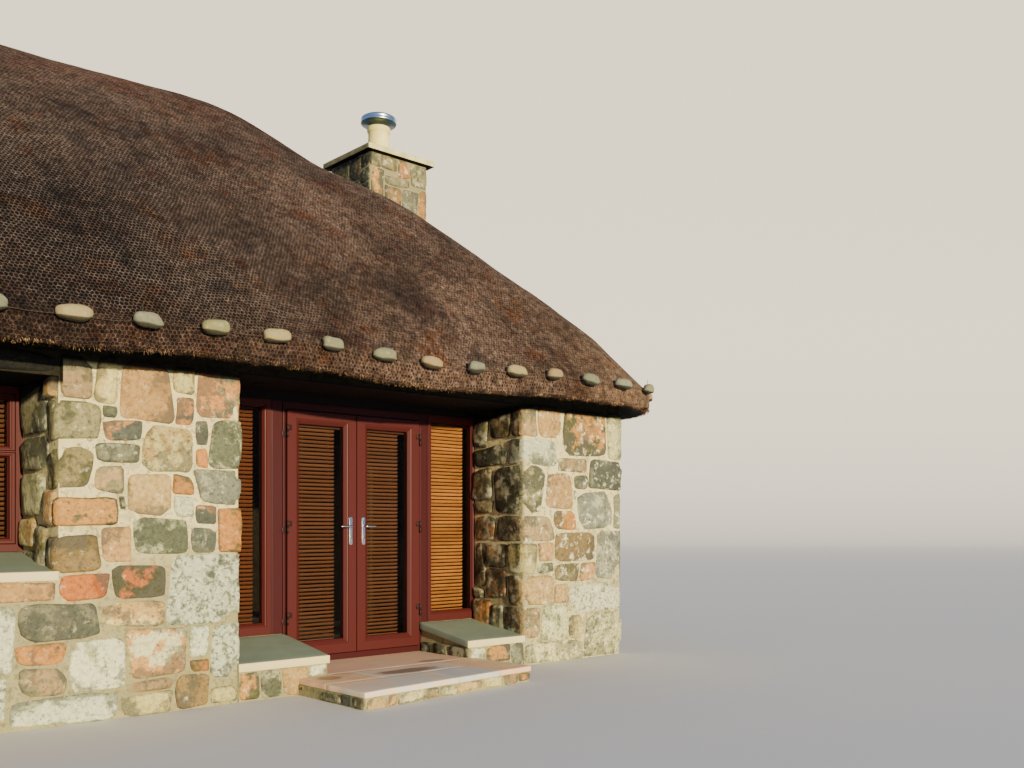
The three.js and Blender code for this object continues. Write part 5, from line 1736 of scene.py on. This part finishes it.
def buildChimneyTop():
    cap = wornBlock(Shape(), *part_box("chimney_cap"), 0.009, 0.05, 0.0022, seed=17)
    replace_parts(cap.piece("cap_slab", capLook, "house", "cap_concrete"), "chimney_cap")
    (x0, y0, z0), (x1, y1, z1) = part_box("chimney_pot")
    x, y, foot = (x0 + x1) / 2, (y0 + y1) / 2, (x1 - x0) / 2
    throat = foot - 0.022
    # Radius and height above the foot of the lower points; width from the throat and depth of the upper ones
    lower = ((foot - 0.006, 0), (foot, 0.006), (foot, 0.044), (foot - 0.004, 0.052), (throat + 0.010, 0.066),
             (throat + 0.002, 0.080), (throat, 0.095))
    upper = ((-0.008, 0.075), (-0.006, 0.064), (0.003, 0.055), (0.006, 0.047), (0.006, 0.008), (0.002, 0.001),
             (-0.006, 0))
    profile = [(0, z0), *((radius, z0 + up) for radius, up in lower),
               *((throat + out, z1 - down) for out, down in upper), (0, z1)]
    pot = turned(Shape(), profile, x, y, 64)
    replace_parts(pot.piece("pot_clay", potLook, "house", "clay"), "chimney_pot")
    (x0, y0, z0), (x1, y1, z1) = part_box("chimney_cowl")
    rim, spring = (x1 - x0) / 2, z0 + 0.085
    neck = 0.110
    brim = ((0.014, 0.032), (0.004, 0.040), (0, 0.048), (0, 0.060), (0.003, 0.064), (0.003, 0.082),
            (0.001, 0.086))
    profile = [(0, z0), (neck, z0), (neck, z0 + 0.022), *((rim - inset, z0 + up) for inset, up in brim)]
    for t in np.linspace(0.12, math.pi / 2, 14)[:-1]:
        profile.append((rim * math.cos(t), spring + (z1 - spring) * math.sin(t)))
    cowl = turned(Shape(), [*profile, (0, z1)], x, y, 64)
    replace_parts(cowl.piece("cowl_dome", cowlLook, "house", "cowl_metal"), "chimney_cowl")


for name, side in (("left", -1), ("right", 1)):
    buildLeaf(name, side)
buildDoorFrame()
for name in windows:
    buildWindow(name)
for name, (body, tilt, strip, colour) in blinds["kinds"].items():
    buildBlind(name, body, tilt, strip, colour)
print("doors, windows and blinds made")
for seed, name in enumerate(("plinth_left", "plinth_right", *(f"window_{window}" for window in windows))):
    buildSill(name, seed + 60)
buildFlags()
buildChimneyTop()
print("sills, flags and chimney top made")
for name, look in (("recess_soffit", timberLook), ("door_head_board", timberLook), ("floor", screedLook)):
    dress(name, look)
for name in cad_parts:
    if name.endswith("_glass"):
        dress(name, glassLook)


# The plain studio: pale floor, soft light, and the camera at the photograph's angle
studio = {
    "cameraPlace": (-2.199, -9.213, 1.20),
    "cameraHeading": (0.677, 0.736),
    "lens": 35.16,
    "shift": 142 / 1024,
    "sunWay": (-0.130, -0.985, 0.150),
    "sunStrength": 7.8,
    "sunSoftness": 1.0,
    "skyLight": ("aecbff", 0.52),
    "skySeen": ("fff3df", 1.62),
    "backdrop": 62.0,
    "backdropWide": 75.0,
    "backdropHeight": 46.0,
    "sweep": 16.0,
}


def buildStudio():
    # Floor, and a tall plain backdrop square to the camera's way with a swept foot
    heading = Vector((*studio["cameraHeading"], 0)).normalized()
    across = Vector((heading.y, -heading.x, 0))
    wide, sweep, height = studio["backdropWide"], studio["sweep"], studio["backdropHeight"]
    profile = [(-120.0, 0.0), (-20.0, 0.0), (studio["backdrop"] - sweep, 0.0)]
    profile += [(studio["backdrop"] - sweep + sweep * math.sin(a), sweep - sweep * math.cos(a))
                for a in np.linspace(0.1, math.pi / 2, 14)]
    profile.append((studio["backdrop"], height))
    points = [tuple(heading * away + across * side + Vector((0, 0, z)))
              for away, z in profile for side in (-wide, wide)]
    faces = [(2 * i + 1, 2 * i, 2 * i + 2, 2 * i + 3) for i in range(len(profile) - 1)]
    mesh = bpy.data.meshes.new("studio_floor")
    mesh.from_pydata(points, [], faces)
    mesh.polygons.foreach_set("use_smooth", [True] * len(faces))
    floor = bpy.data.objects.new("studio_floor", mesh)
    scene.collection.objects.link(floor)
    f = Finish("paleFloor")
    mesh.materials.append(f.done(Base_Color=tone("dcdad6"), Roughness=0.95, Specular_IOR_Level=0.1))

    # Cool soft light from all round, behind which the studio looks as pale as its backdrop
    world = bpy.data.worlds.new("studio")
    world.use_nodes = True
    nodes, links = world.node_tree.nodes, world.node_tree.links
    shades = nodes["Background"], nodes.new("ShaderNodeBackground")
    blend = nodes.new("ShaderNodeMixShader")
    links.new(nodes.new("ShaderNodeLightPath").outputs["Is Camera Ray"], blend.inputs["Fac"])
    for shade, (colour, strength), socket in zip(shades, (studio["skyLight"], studio["skySeen"]), (1, 2)):
        shade.inputs["Color"].default_value = tone(colour)
        shade.inputs["Strength"].default_value = strength
        links.new(shade.outputs["Background"], blend.inputs[socket])
    links.new(blend.outputs["Shader"], nodes["World Output"].inputs["Surface"])
    scene.world = world

    light = bpy.data.lights.new("key", "SUN")
    light.energy = studio["sunStrength"]
    light.angle = math.radians(studio["sunSoftness"])
    light.color = tone("ffedc4")[:3]
    key = bpy.data.objects.new("key", light)
    key.rotation_euler = Vector(studio["sunWay"]).to_track_quat("Z", "Y").to_euler()
    scene.collection.objects.link(key)

    lens = bpy.data.cameras.new("view")
    lens.lens = studio["lens"]
    lens.sensor_width = 36
    lens.shift_y = studio["shift"]
    lens.clip_end = 300
    camera = bpy.data.objects.new("view", lens)
    camera.location = studio["cameraPlace"]
    camera.rotation_euler = Vector((*studio["cameraHeading"], 0)).to_track_quat("-Z", "Y").to_euler()
    scene.collection.objects.link(camera)
    scene.camera = camera


buildStudio()
print("studio set")
